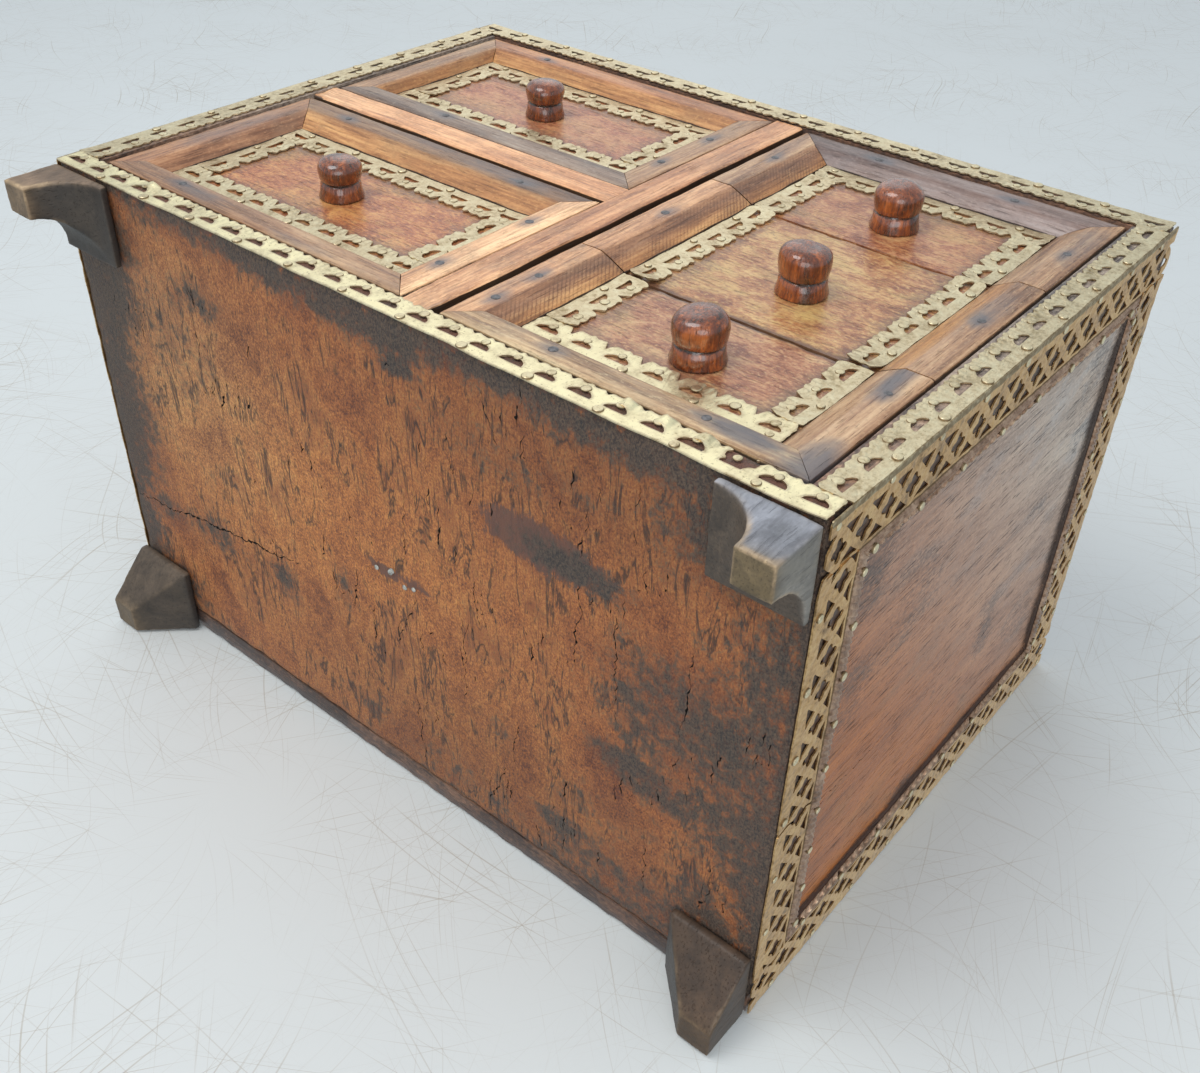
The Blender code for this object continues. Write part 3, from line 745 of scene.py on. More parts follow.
def add_bottom():
    """The underside: dirty at its borders and darkened there with painted shade, orange in the middle, full
    of short cracks across the grain.
    """
    low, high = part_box("bottom_board")
    points, faces = grid_box(board_lines("bottom_board"))
    points = eased(points, low, high)
    under = points[:, 2] < low.z + EDGE_WEAR
    waves = ripple(points[:, 0] * 22, points[:, 1] * 16, 2.0)
    points[:, 2] += np.where(under, BOTTOM_RELIEF * (1 + waves), 0)
    face = Face((0, FRONT, UNDERSIDE), (1, 0, 0), DOWNWARD, (0, 1, 0))
    chance = random.Random(PIT_SEED)
    cracks = [mm(*crack) for crack in (*BOTTOM_CRACKS, NAIL_HOLE)]
    for x, y, spread, count in PIT_CLUSTERS:
        for _ in range(count):
            place = mm(chance.gauss(x, spread / 2), chance.gauss(y, spread / 2))
            length = chance.choice(PIT_LENGTHS)
            cracks.append(place + mm(chance.uniform(-0.7, 0.7), -length, chance.uniform(0.5, 1.3)))
    mesh = cracked(new_mesh("bottom", points, faces), BOTTOM_WOOD, crack_cutter(face, cracks, CRACK_SEED))
    mesh.set_sharp_from_angle(angle=math.radians(SHARP))
    at = points_of(mesh)
    x = at[:, 0]
    y = at[:, 1] - FRONT
    edge = np.minimum(np.minimum(x - LEFT, RIGHT - x), np.minimum(y, BACK - FRONT - y))
    # Dirt spots, and along every rim painted shade with dirt
    dirt_and_shade = np.maximum(spots_mm(x, y, BOTTOM_DIRT), np.exp(-edge / RIM_SHADE_REACH))
    at_front = y < FRONT_RIM
    dirt_and_shade = np.where(at_front, FRONT_DIRT, dirt_and_shade)
    stain = np.where(at_front, FRONT_STAIN, spots_mm(x, y, BOTTOM_STAINS))
    tint = BASE_TINT + np.multiply.outer(spots_mm(x, y, BOTTOM_GLOW), GLOW_TINT)
    # Painted reflection: paler and bluer towards the left, near the front
    tint = tint * (1 + np.multiply.outer(spots_mm(x, y, BOTTOM_REFLECTION), REFLECTION_SHIFT))
    tint = tint * (1 - DULL_LOSS * spots_mm(x, y, BOTTOM_DULL)[:, None])
    paint(mesh, at, dirt_and_shade, stain, tint)
    add_piece("worn_bottom_board", mesh, CARCASS, BOTTOM_WOOD, "carcass_wood", "bottom_board")
    chips = [face.at(*mm(*chip), CHIP_LEVEL) for chip in PAINT_CHIPS]
    add_domes("paint_chips", chips, DOWNWARD, CHIP_HEAD, CARCASS, PAINT, "carcass_wood")


SIDE_POCKET = 0.0012
SIDE_BORDER = SIDE_BAND + ROPE_WIDTH + 2 * GLUE_LINE
POCKET_WALL = 0.0003
SIDE_RELIEF = 0.0003
# Tint of the lower back corner of a side, and of its upper front corner
SIDE_WARM = np.array((1.15, 0.67, 0.17))
SIDE_COOL = np.array((1.52, 2.3, 2.9))
# Painted shade in the field along its walls and how far it reaches, dirt under the trim, and on the front
# edge
FIELD_SHADE = 0.9
FIELD_REACH = 0.003
TRIM_DIRT = 1.2
SIDE_FRONT_DIRT = 0.6
# Marks on the sides, in mm: y back from the front edge, z above the underside
SIDE_CRACKS = [
    (170, 96, -2, -66, 0.7), (113, 232, 0, -24, 0.7), (118, 231, 0, -22, 0.6), (113, 233, 5, 0, 0.5),
    (172, 198, 9, -12, 1.4), (60, 170, 0, -7, 0.8), (86, 140, 0, -6, 0.7), (140, 120, 0, -5, 0.7),
]
# Dark places on the sides: dirt, and painted shade along the rope
SIDE_DIRT_AND_SHADE = [
    (174, 192, 20, 12, 0.5), (40, 45, 40, 18, 0.6), (110, 48, 30, 20, 0.45), (238, 130, 8, 14, 0.7),
    (34, 150, 6, 110, 0.45), (140, 268, 120, 7, 0.75), (116, 222, 5, 16, 0.4), (180, 142, 8, 5, 0.4),
    (60, 250, 40, 14, 0.35), (90, 90, 30, 30, 0.3), (200, 240, 20, 26, 0.35),
]


def field_stops(low, high):
    """Grid lines at the top and the foot of the low walls round the sunk field of a side."""
    low = low + SIDE_BORDER
    high = high - SIDE_BORDER
    return low, low + POCKET_WALL, high - POCKET_WALL, high


def add_side(name, side):
    """A side board with a sunk field of upright grain, grey towards its upper front corner, with painted
    shade along the walls of the field.
    """
    node = name + "_side_board"
    stops_y = field_stops(FRONT, BACK)
    stops_z = field_stops(UNDERSIDE, TOP)
    points, faces = grid_box(board_lines(node, ((), stops_y, stops_z)))
    outer = RIGHT if side > 0 else LEFT
    inside = np.abs(points[:, 0] - outer) < TOUCH
    for axis, stops in ((1, stops_y), (2, stops_z)):
        inside &= (points[:, axis] > stops[1] - TOUCH) & (points[:, axis] < stops[2] + TOUCH)
    worn = SIDE_RELIEF * (1 + ripple(points[:, 1] * 14, points[:, 2] * 9, 3.0 + side))
    points[:, 0] -= side * np.where(inside, SIDE_POCKET + worn, 0)
    face = Face((outer - side * SIDE_POCKET, FRONT, UNDERSIDE), (0, 1, 0), (side, 0, 0), (0, 0, 1))
    cutter = crack_cutter(face, [mm(*crack) for crack in SIDE_CRACKS], 5 + side)
    mesh = cracked(new_mesh(node, points, faces), SIDE_WOOD, cutter)
    at = points_of(mesh)
    y = at[:, 1] - FRONT
    z = at[:, 2] - UNDERSIDE
    dirt_and_shade = spots_mm(y, z, SIDE_DIRT_AND_SHADE)
    border = np.abs(at[:, 0] - outer) < SIDE_POCKET / 2
    field = [np.minimum(at[:, axis] - stops[0], stops[3] - at[:, axis])
             for axis, stops in ((1, stops_y), (2, stops_z))]
    from_edge = np.minimum(*field)
    # Painted shade in the field along its walls
    wall_shade = FIELD_SHADE * np.exp(-from_edge / FIELD_REACH)
    dirt_and_shade = np.where(from_edge > -NEAR, np.maximum(dirt_and_shade, wall_shade), dirt_and_shade)
    dirt_and_shade = np.where(border & (y > 0.001), TRIM_DIRT, dirt_and_shade)
    dirt_and_shade = np.where(y < 0.0008, SIDE_FRONT_DIRT, dirt_and_shade)
    grey = np.clip(0.5 + (z - 0.15) / 0.25 - (y - 0.12) / 0.22, 0, 1)
    tint = towards(SIDE_WARM, SIDE_COOL, grey[:, None] ** 1.3)
    paint(mesh, at[:, [2, 1, 0]] + 3.1 * side, dirt_and_shade, 0.0, tint)
    add_piece(f"worn_{name}_side", mesh, CARCASS, SIDE_WOOD, "carcass_wood", node)


def add_plain_board(name, node, body, material, slot, grain, tint, dirt_and_shade):
    """A board with eased edges. grain gives the order of the axes, the one along the grain first."""
    low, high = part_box(node)
    points, faces = grid_box(board_lines(node))
    points = eased(points, low, high)
    mesh = new_mesh(name, points, faces)
    paint(mesh, points[:, grain] + low.z * 7, dirt_and_shade(points), 0.0, tint)
    add_piece(name, mesh, body, material, slot, node)


FRONT_EDGE = 0.012
PARTITION_SHAVED = 0.0019
RAIL_SHAVED = 0.0009
# Where the painted shade on the open side of a divider starts, back from the front, also a grid line
WALL_SHADE_START = 0.0014
SPLINTERED = 0.03
DIVIDER_CELL = 0.003
# How far a divider stands back from the front, and how far its splinters and its open edge are worn
SET_BACK = 0.0002
SPLINTER_LOSS = 0.0006
CORNER_LOSS = 0.0006


def add_divider(name, node, axis, open_side, shaved, grain, tone):
    """A board between drawers. On its open side its front edge is worn thinner, with black painted shade in
    the gap beside it, and it is pale and splintered towards its lower or left end."""
    low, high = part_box(node)
    stops = (FRONT + WALL_SHADE_START, FRONT + FRONT_EDGE)
    points, faces = grid_box(board_lines(node, ((), stops, ()), DIVIDER_CELL))
    along = points[:, grain[0]] - low[grain[0]]
    open_face = high[axis] if open_side > 0 else low[axis]
    wall = np.abs(points[:, axis] - open_face) < NEAR
    shown = points[:, 1] < FRONT + FRONT_EDGE - 0.001
    wear = shaved * (1 + 0.4 * ripple(along * 16, along * 0, 2.0)) + 0.001 * np.exp(-along / SPLINTERED)
    points[:, axis] -= np.where(shown & wall, open_side * wear, 0)
    splinters = SPLINTER_LOSS * (1 + ripple(points[:, axis] * 300, along * 60, 4.0))
    ragged = SET_BACK + splinters * np.exp(-along / SPLINTERED) + np.where(wall, CORNER_LOSS, 0)
    points[:, 1] += np.where(points[:, 1] < FRONT + NEAR, ragged, 0)
    mesh = new_mesh(name, points, faces)
    # Black painted shade on the open side, in the gap beside the drawer
    dirt_and_shade = np.where(wall & (points[:, 1] > FRONT + WALL_SHADE_START - NEAR), 1.7, -0.1)
    pale = np.exp(-along / SPLINTERED)[:, None]
    tint = towards(tint_of(tone, MOULDING_BASE), tint_of(PALE, MOULDING_BASE), pale)
    paint(mesh, points[:, grain], dirt_and_shade, 0.0, tint)
    add_piece(name, mesh, CARCASS, MOULDING_WOOD, "moulding_wood", node)


BOARD_RIM = 0.02
BOARD_DIRT = 0.75


def rim_dirt(points):
    """Dirt along the rim of a top or back board."""
    low = points.min(0)
    high = points.max(0)
    thin = int(np.argmin(high - low))
    gaps = [np.minimum(points[:, axis] - low[axis], high[axis] - points[:, axis])
            for axis in range(3) if axis != thin]
    return BOARD_DIRT * np.exp(-np.minimum(*gaps) / BOARD_RIM)


# Colours that the strips of wood on the front take
# A slope colour with a painted highlight in it, over the wood's own colour
GOLD_HIGHLIGHT = (176, 120, 70)
ORANGE = (190, 130, 86)
GREY = (140, 114, 94)
DUSK = (125, 100, 89)
BRIGHT = (206, 143, 95)
AMBER = (156, 114, 80)
RUST = (172, 112, 70)
STRAW = (182, 146, 106)
# A slope colour with a painted highlight in it, over the wood's own colour
CREAM_HIGHLIGHT = (220, 184, 141)
HONEY = (196, 142, 98)
UMBER = (130, 92, 62)
PLUM = (126, 86, 64)
PALE = (210, 156, 110)
RED = (162, 112, 76)
TAN = (168, 126, 90)
# For each moulding, the colour of its flat and of its slope: partly the strip's own wood, partly painted
# light, with painted highlights on the gold and cream slopes
MOULDING_TONES = {
    "upper_left": {"bottom": (GREY, TAN), "right": (TAN, TAN), "top": (RUST, GOLD_HIGHLIGHT), "left": (TAN, GOLD_HIGHLIGHT)},
    "lower_left": {"bottom": (AMBER, TAN), "right": (PALE, PALE), "top": (UMBER, GOLD_HIGHLIGHT), "left": (RED, RED)},
    "upper_right": {"right": (TAN, TAN), "top": (DUSK, DUSK), "left": (TAN, GOLD_HIGHLIGHT)},
    "middle_right": {"right": (TAN, GOLD_HIGHLIGHT), "left": (HONEY, GOLD_HIGHLIGHT)},
    "lower_right": {"right": (TAN, TAN), "bottom": (STRAW, CREAM_HIGHLIGHT), "left": (HONEY, GOLD_HIGHLIGHT)},
}
# Grey weathered stretches: share of the length, inset, reach along and across, strength
WEATHERED = {
    ("lower_right", "bottom"): ((0.81, 0.009, 0.022, 0.006, 1.15), (0.975, 0.006, 0.016, 0.010, 1.0)),
    ("lower_right", "right"): ((0.06, 0.005, 0.024, 0.008, 1.05), (0.9, 0.012, 0.020, 0.006, 0.9)),
    ("middle_right", "right"): ((0.7, 0.010, 0.022, 0.006, 0.6),),
    ("upper_right", "right"): ((0.6, 0.008, 0.030, 0.006, 0.6),),
    ("lower_left", "bottom"): ((0.30, 0.008, 0.026, 0.005, 0.6), (0.66, 0.005, 0.030, 0.004, 0.5)),
    ("lower_left", "left"): ((0.45, 0.008, 0.040, 0.008, 0.6),),
    ("lower_left", "top"): ((0.25, 0.006, 0.030, 0.007, 0.65), (0.6, 0.004, 0.040, 0.005, 0.5)),
    ("lower_right", "left"): ((0.55, 0.006, 0.030, 0.005, 0.4),),
    ("upper_right", "left"): ((0.3, 0.006, 0.030, 0.006, 0.4),),
}
# Places of the iron nails, as shares of each moulding's length
MOULDING_NAILS = {
    "upper_left": {"bottom": (0.36,), "right": (0.30, 0.63), "top": (0.75,)},
    "lower_left": {"bottom": (0.24,), "right": (0.25, 0.69), "top": (0.21, 0.80)},
    "upper_right": {"right": (0.45,), "top": (0.3, 0.72), "left": (0.5,)},
    "middle_right": {"right": (0.56,), "left": (0.48,)},
    "lower_right": {"right": (0.77,), "bottom": (0.31, 0.72), "left": (0.41, 0.71)},
}
# Iron nails: their place across a moulding, and their radius and height
NAIL_INSET = 0.0093
NAIL_HEAD = (0.0019, 0.0003)
# Stain round a nail: reach along and across the grain, and strength
NAIL_STAIN = (0.009, 0.0045, 0.9)
# How far the face of a moulding lies inside its solid, and how far it wanders
SUNK = 0.0002
STRIP_WANDER = 0.00018
# Painted shade, with some dirt, on the outer wall and along the feet of a moulding; dirt on what shows of it,
# and at its mitres
CORNER_SHADE = 1.4
OPEN_DIRT = -0.1
MITRE_DIRT = 0.35
WALL_GAP = 0.0009
CLOSE_GAP = 0.0002
MITRE_GAP = 0.0002
ROUNDED = 0.0018
BEVEL = 0.0005
# Mouldings that lie close against the board beside them
CLOSE_STRIPS = {("upper_left", "right"), ("lower_left", "right"), ("upper_left", "bottom")}


def slopes_of(drawer):
    return LEFT_SLOPES.get(drawer, RIGHT_SLOPES)


def strip_width(drawer, side):
    """How far a moulding reaches in from the edge of its drawer front."""
    return MOULDING_FLAT + slopes_of(drawer)[side]


def moulding_profile(slope, gap):
    """(inset, height) round the section of a moulding, from its outer foot over the top to its inner foot."""
    rise = MOULDING_HEIGHT
    flat = MOULDING_FLAT
    foot = MOULDING_FOOT
    return [
        (gap, 0.0), (gap, rise - ROUNDED), (gap + BEVEL, rise - BEVEL), (gap + ROUNDED, rise),
        (flat * 0.35, rise), (flat * 0.65, rise), (flat - 0.0012, rise), (flat, rise - BEVEL),
        (flat + slope * 0.35, foot + (rise - foot) * 0.62), (flat + slope * 0.7, foot + (rise - foot) * 0.28),
        (flat + slope - 0.0003, foot), (flat + slope, foot * 0.7), (flat + slope, 0.0), (flat * 0.5, 0.0),
    ]


def mitre(inset, slope, beside):
    """How far a strip is cut back at each inset, where its neighbour's slope has another width."""
    return np.minimum(inset, MOULDING_FLAT) + np.maximum(inset - MOULDING_FLAT, 0) * beside / slope


def front_box(drawer):
    low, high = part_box(drawer + "_drawer_front")
    return low.x, high.x, low.z, high.z


def moulding_marks(drawer, side, length, nails, wall, along, depth, level):
    """Dirt and painted shade, stain, tint with painted highlights, and saw marks at places along a moulding,
    across it and above its panel.
    """
    stain = blobs(along, depth, [(nail, NAIL_INSET, *NAIL_STAIN) for nail in nails])
    patches = [(share * length, *spot) for share, *spot in WEATHERED.get((drawer, side), ())]
    stain = np.maximum(stain, blobs(along, depth, patches))
    # Painted shade, with some dirt, on the outer wall in its gap and along the feet
    outer_wall = (depth < wall + 0.0002) & (level < MOULDING_HEIGHT - 0.001)
    dirt_and_shade = np.where(outer_wall | (level < MOULDING_FOOT * 0.9), CORNER_SHADE, OPEN_DIRT)
    dirt_and_shade = dirt_and_shade + MITRE_DIRT * np.exp(-np.minimum(along, length - along) / 0.004)
    # Flat and slope coloured apart: the strip's wood, and on many slopes a painted highlight
    tones = [tint_of(tone, MOULDING_BASE) for tone in MOULDING_TONES[drawer][side]]
    on_slope = np.clip((depth - MOULDING_FLAT + 0.0006) / 0.0012, 0, 1)[:, None]
    tint = towards(*tones, on_slope)
    sawn = 0.0
    if side == "left" and drawer not in LEFT_SLOPES:
        sawn = on_slope[:, 0]
        down = (depth - MOULDING_FLAT) / slopes_of(drawer)[side]
        shade = np.clip(1.3 - down * 1.6, 0, 1)[:, None] * on_slope
        tint = towards(tint, tint_of(PLUM, MOULDING_BASE), shade)
    return dirt_and_shade, stain, tint, sawn


def add_moulding(drawer, side, face, length, mitred, nodes):
    """One strip of moulding, mitred where it meets another, with its nails."""
    slopes = slopes_of(drawer)
    wall = CLOSE_GAP if (drawer, side) in CLOSE_STRIPS else WALL_GAP
    profile = moulding_profile(slopes[side], wall)
    seed = random.Random(f"{drawer} {side}").uniform(0, 9)
    stations = np.linspace(0, 1, max(2, round(length / STATION)) + 1)
    inset = np.array([point[0] for point in profile])
    height = np.array([point[1] for point in profile])
    order = SIDES.index(side)
    near = [slopes[SIDES[beside % 4]] for beside in (order - 1, order + 1)]
    start, end = ((mitre(inset, slopes[side], slope) + MITRE_GAP) * met for slope, met in zip(near, mitred))
    end = length - end
    u = start + (end - start) * stations[:, None]
    wander = STRIP_WANDER * ripple(u * 30, inset * 90, seed)
    v = inset + np.where(inset > MOULDING_FLAT / 2, wander * 1.6, 0)
    h = np.where(height > 0.001, height - SUNK - wander, height)
    points = face.at(u, v, h).reshape(-1, 3)
    count = len(profile)
    ends = [ring(0, count), ring(len(points) - count, count)[::-1]]
    faces = ends + tube(0, count, len(stations), True)
    mesh = new_mesh(f"{drawer}_{side}", points, faces)
    grain = np.stack([u, v, h], -1).reshape(-1, 3)
    depth, level = (np.tile(part, len(stations)) for part in (inset, height))
    nails = [share * length for share in MOULDING_NAILS[drawer].get(side, ())]
    marks = moulding_marks(drawer, side, length, nails, wall, grain[:, 0], depth, level)
    paint(mesh, grain + seed, *marks)
    body = drawer + "_drawer"
    add_piece(f"{drawer}_moulding_{side}", mesh, body, MOULDING_WOOD, "moulding_wood", *nodes)
    return [face.at(nail, NAIL_INSET, MOULDING_HEIGHT - SUNK) for nail in nails]


def joined(sides, side):
    """Whether a strip meets another at its start and at its end."""
    order = SIDES.index(side)
    return SIDES[order - 1] in sides, SIDES[(order + 1) % 4] in sides


def node_of(drawer, kind, side):
    name = f"{drawer}_drawer_{kind}"
    return f"{name}_{side}" if drawer == "middle_right" else name


def panel_runs(drawer):
    """A face along each side of a drawer front, with its length."""
    corners = front_rectangle(*front_box(drawer), PANEL - GLUE_LINE)
    return dict(zip(SIDES, runs(corners, FRONTWARD)))


def add_mouldings(drawer):
    """The mouldings of a drawer front, and their nails in one piece."""
    nails = []
    sides = DRAWERS[drawer]
    faces = panel_runs(drawer)
    for side in sides:
        nodes = (node_of(drawer, "moulding", side),)
        if drawer != "middle_right" and side != sides[0]:
            nodes = ()
        nails += add_moulding(drawer, side, *faces[side], joined(sides, side), nodes)
    body = drawer + "_drawer"
    add_domes(f"{drawer}_iron_nails", nails, FRONTWARD, NAIL_HEAD, body, IRON, "moulding_wood")


# Nail heads: radius and height of each ring, as shares, and how bright it is
DOME_RINGS = ((1.0, -0.6), (1.0, 0.3), (0.93, 0.55), (0.84, 0.85), (0.45, 0.97))
DOME_SHINE = (-0.4, -0.4, -0.2, 1.1, 1.25)
DOME_SIDES = 14


def add_domes(name, places, out, head, body, material, slot):
    """Nail heads as low domes, all in one piece. head is their radius and height."""
    if not places:
        return
    radius, height = head
    out = np.array(out, float)
    first = np.array((out[1], out[2], out[0]))
    second = np.cross(out, first)
    points = []
    faces = []
    for order, place in enumerate(places):
        start = len(points)
        scale = radius * (1 + 0.12 * math.sin(7.3 * order))
        for share, rise in DOME_RINGS:
            for turn in range(DOME_SIDES):
                angle = 2 * math.pi * turn / DOME_SIDES
                spread = first * math.cos(angle) + second * math.sin(angle)
                points.append(place + spread * scale * share + out * height * rise)
        crown = len(points)
        points.append(place + out * height)
        faces += tube(start, DOME_SIDES, len(DOME_RINGS))
        top = ring(crown - DOME_SIDES, DOME_SIDES)
        faces += [(here, beside, crown) for here, beside in zip(top, top[1:] + top[:1])]
        faces.append(ring(start, DOME_SIDES)[::-1])
    mesh = new_mesh(name, points, faces)
    shine = np.append(np.repeat(DOME_SHINE, DOME_SIDES), 1.0)
    set_floats(mesh, "edge", np.tile(shine, len(places)))
    add_piece(name, mesh, body, material, slot)


class Metalwork:
    """Points, faces and shine of a piece of metal that is built up strip by strip."""

    def __init__(self):
        self.points = []
        self.faces = []
        self.edge = []

    def add_to(self, name, body, material, slot, sharp, *nodes):
        mesh = new_mesh(name, self.points, self.faces, sharp)
        set_floats(mesh, "edge", self.edge)
        add_piece(name, mesh, body, material, slot, *nodes)


class Sheet(Metalwork):
    """A pierced sheet: the cells of a grid that lie in the metal, cut to shape along its outline."""

    def add_strip(self, face, length, width, cell, solid, relief, lift, polish=1.0):
        """solid says how far a point lies inside the metal, relief how far the metal stands up there, lift
        how far it has come off what it is nailed to, and polish how bright it is."""
        across = np.arange(-cell / 2, width + cell, cell)
        along = np.arange(-cell / 2, length + cell, cell)
        u, v = np.meshgrid(along, across, indexing="ij")
        depth = solid(u, v)
        inside = depth > 0
        places = {}
        spots = []

        def spot(key, at_u, at_v, at_depth):
            if key not in places:
                places[key] = len(spots)
                spots.append((at_u, at_v, at_depth))
            return places[key]

        def grid_point(i, j):
            return spot(("grid", i, j), u[i, j], v[i, j], depth[i, j])

        def crossing(a, b):
            (i, j), (k, m) = sorted((a, b))
            share = depth[i, j] / (depth[i, j] - depth[k, m])
            share = min(max(share, 0.1), 0.9)
            at_u = u[i, j] + (u[k, m] - u[i, j]) * share
            at_v = v[i, j] + (v[k, m] - v[i, j]) * share
            return spot(("cut", i, j, k, m), at_u, at_v, 0.0)

        polygons = []
        filled = inside[:-1, :-1].astype(int) + inside[1:, :-1] + inside[1:, 1:] + inside[:-1, 1:]
        for i, j in np.argwhere(filled > 0):
            corners = ((i, j), (i + 1, j), (i + 1, j + 1), (i, j + 1))
            polygon = []
            for corner, after in zip(corners, corners[1:] + corners[:1]):
                if inside[corner]:
                    polygon.append(grid_point(*corner))
                if inside[corner] != inside[after]:
                    polygon.append(crossing(corner, after))
            polygons.append(polygon)
        self.thicken(face, np.array(spots), polygons, relief, lift, polish)

    def thicken(self, face, spots, polygons, relief, lift, polish):
        """Give flat polygons the thickness of the sheet, and close it along its outline."""
        u, v, depth = spots.T
        floor = lift(u, v)
        start = len(self.points)
        count = len(spots)
        self.points += list(face.at(u, v, floor + BRASS + relief(u, v)))
        self.points += list(face.at(u, v, floor))
        self.edge += list(polish * np.clip(0.25 + depth / 0.0012, 0, 1)) * 2
        sides = set()
        for polygon in polygons:
            self.faces.append([start + corner for corner in polygon])
            self.faces.append([start + count + corner for corner in polygon[::-1]])
            sides.update(zip(polygon, polygon[1:] + polygon[:1]))
        for a, b in sides:
            if (b, a) not in sides:
                self.faces.append([start + b, start + a, start + count + a, start + count + b])


MOON_WIDTH = 0.0104
MOON_HEIGHT = 0.0038
MOON_FLAT = 0.006
NOTCH_DEPTH = 0.0042
BORDER_NOTCH = 0.0008
TONGUE_RADIUS = 0.0055
NOTCH_HALF = 0.003
EDGE_WAVE = 0.0003
BENT_WAVE = 0.0008
# Small cuts and uneven places along the inner edge and at the ends
INNER_MARGIN = 0.0008
LEAF_CUT = 0.0004
EDGE_ROUGH = 0.0003
END_ROUGH = 0.0004
# Relief of the lips, the veins and the dents
LIP_RELIEF = 0.00022
VEIN_RELIEF = 0.00014
DENT_RELIEF = 0.00006
DISC_GAP = 0.0009
DISC_RADIUS = 0.0021
DISC_HEIGHT = 0.0003
HEAD_LEVEL = BRASS + 0.0003
CORNER_LAP = 0.0012
SHEET_SHARP = 40


def unit_place(u, length, pitch):
    """Distance along a band from the middle of the nearest repeat, with whole repeats in its length."""
    step = length / max(1, round(length / pitch))
    return (u / step % 1 - 0.5) * step, step


def moon_depth(u, v, length, width, seed, notch=NOTCH_DEPTH, wave=EDGE_WAVE):
    """The front bands: half moons with their flat sides out, and an inner edge cut into leaves."""
    x, step = unit_place(u, length, MOON_PITCH)
    uneven = 1 + 0.09 * np.sin(3.7 * np.floor(u / step) + seed)
    between = step / 2 - np.abs(x)
    cut = notch * np.clip(1 - between / (NOTCH_HALF * uneven), 0, 1) ** 1.5
    leaves = LEAF_CUT * np.cos(6 * math.pi * x / step) + EDGE_ROUGH * ripple(u * 120, v * 0, seed)
    inner = width - INNER_MARGIN - cut + leaves
    round_side = (np.hypot(x / (MOON_WIDTH / 2), (v - MOON_FLAT) / MOON_HEIGHT) / uneven - 1) * MOON_HEIGHT
    moon = np.maximum(MOON_FLAT - v, round_side)
    ends = np.minimum(u, length - u) - END_ROUGH * (1 + ripple(v * 200, u * 0, seed))
    outer = v - wave * (1 + ripple(u * 0.011 / wave, v * 0, seed))
    return np.minimum.reduce([inner - v, moon, ends, outer])


def moon_relief(u, v, length, seed):
    """A raised lip round each half moon, leaf veins, and dents all over."""
    x, step = unit_place(u, length, MOON_PITCH)
    top = MOON_FLAT + MOON_HEIGHT
    lip = np.hypot(x / (MOON_WIDTH / 2), (v - MOON_FLAT) / MOON_HEIGHT) - 1.12
    struck = LIP_RELIEF * np.exp(-(lip / 0.12) ** 2) * (v > MOON_FLAT)
    veins = VEIN_RELIEF * (1 + np.cos(10 * math.pi * x / step)) * np.clip((v - top) / 0.002, 0, 1)
    return struck + veins + DENT_RELIEF * (1 + ripple(u * 60, v * 60, seed))


def moon_discs(face, length):
    """Places of the flat heads at the round side of each half moon."""
    repeats = max(1, round(length / MOON_PITCH))
    step = length / repeats
    place = MOON_FLAT + MOON_HEIGHT + DISC_GAP
    return [face.at((repeat + 0.5) * step, place, HEAD_LEVEL) for repeat in range(repeats)]


def moon_tacks(face, first, last):
    """Places of the tacks at every second half moon."""
    return [face.at(tack * MOON_PITCH, TACK_INSET, HEAD_LEVEL) for tack in np.arange(first, last, 2.0)]


CURL_HEIGHT = 0.0005
CURL_REACH = 0.006
SLOW_WAVE = 0.0001
# Loose flaps: half their width, where they start across the strip, how long they are, how far they rise
FLAP_HALF = 0.003
FLAP_START = 0.007
FLAP_LENGTH = 0.006
FLAP_RISE = 0.0018
FLAPS = (0.342, 0.359, 0.376, 0.06)


def curled(length, seed, height=CURL_HEIGHT, flaps=()):
    """Ends that have come up a little, flaps torn loose at the inner edge, and a slow wave in between."""

    def lift(u, v):
        ends = np.minimum(u, length - u)
        rise = height * np.exp(-(ends / CURL_REACH) ** 2) + SLOW_WAVE * (1 + ripple(u * 28, v * 20, seed))
        bent = np.clip((v - FLAP_START) / FLAP_LENGTH, 0, 1)
        for place in flaps:
            rise = rise + FLAP_RISE * np.exp(-((u - place) / FLAP_HALF) ** 2) * bent
        return rise

    return lift


TACK_INSET = 0.0029
TACK_HEIGHT = 0.0006
FRONT_TACK = 0.0022
DRAWER_TACK = 0.0020
OVERHANG = 0.0012
LIP_WIDTH = 0.0034
LIP_LEVEL = 0.0010
LIP_POLISH = -0.1
# The torn patch: its place along and across the lower strip, and its radius
TORN_U = 0.392
TORN_V = 0.0112
TORN_RADIUS = 0.0042
BORDER_POLISH = 1.9
DRAWER_POLISH = 1.6
# How far the ends of the brass on the drawers have come up
DRAWER_CURL = 0.0006
LOOSE_CURL = 0.0014


def add_lip(sheet, side):
    """The narrow part of an upright strip that is folded round the corner, over the lattice."""
    start = TOP if side > 0 else UNDERSIDE
    origin = ((RIGHT if side > 0 else LEFT) + side * LIP_LEVEL, FRONT - GLUE_LINE - BRASS, start)
    length = TOP - UNDERSIDE

    def solid(u, v):
        ragged = LIP_WIDTH - 0.0005 * (1 + ripple(u * 45, v * 0, 3.0))
        return np.minimum.reduce([v, ragged - v, u - 0.0005, length - 0.0005 - u])

    def relief(u, v):
        return 0.0001 * (1 + ripple(u * 70, v * 70, 6.0))

    sheet.add_strip(Face(origin, (0, 0, -side), (side, 0, 0)), length, LIP_WIDTH, SHEET_CELL, solid, relief,
                    lambda u, v: np.zeros_like(u), LIP_POLISH)


def torn_patch(u, v):
    """Where the lower strip of the front border is torn away."""
    patch = np.hypot((u - TORN_U) / 1.5, v - TORN_V) - TORN_RADIUS
    return patch - 0.001 * ripple(u * 150, v * 150, 5)


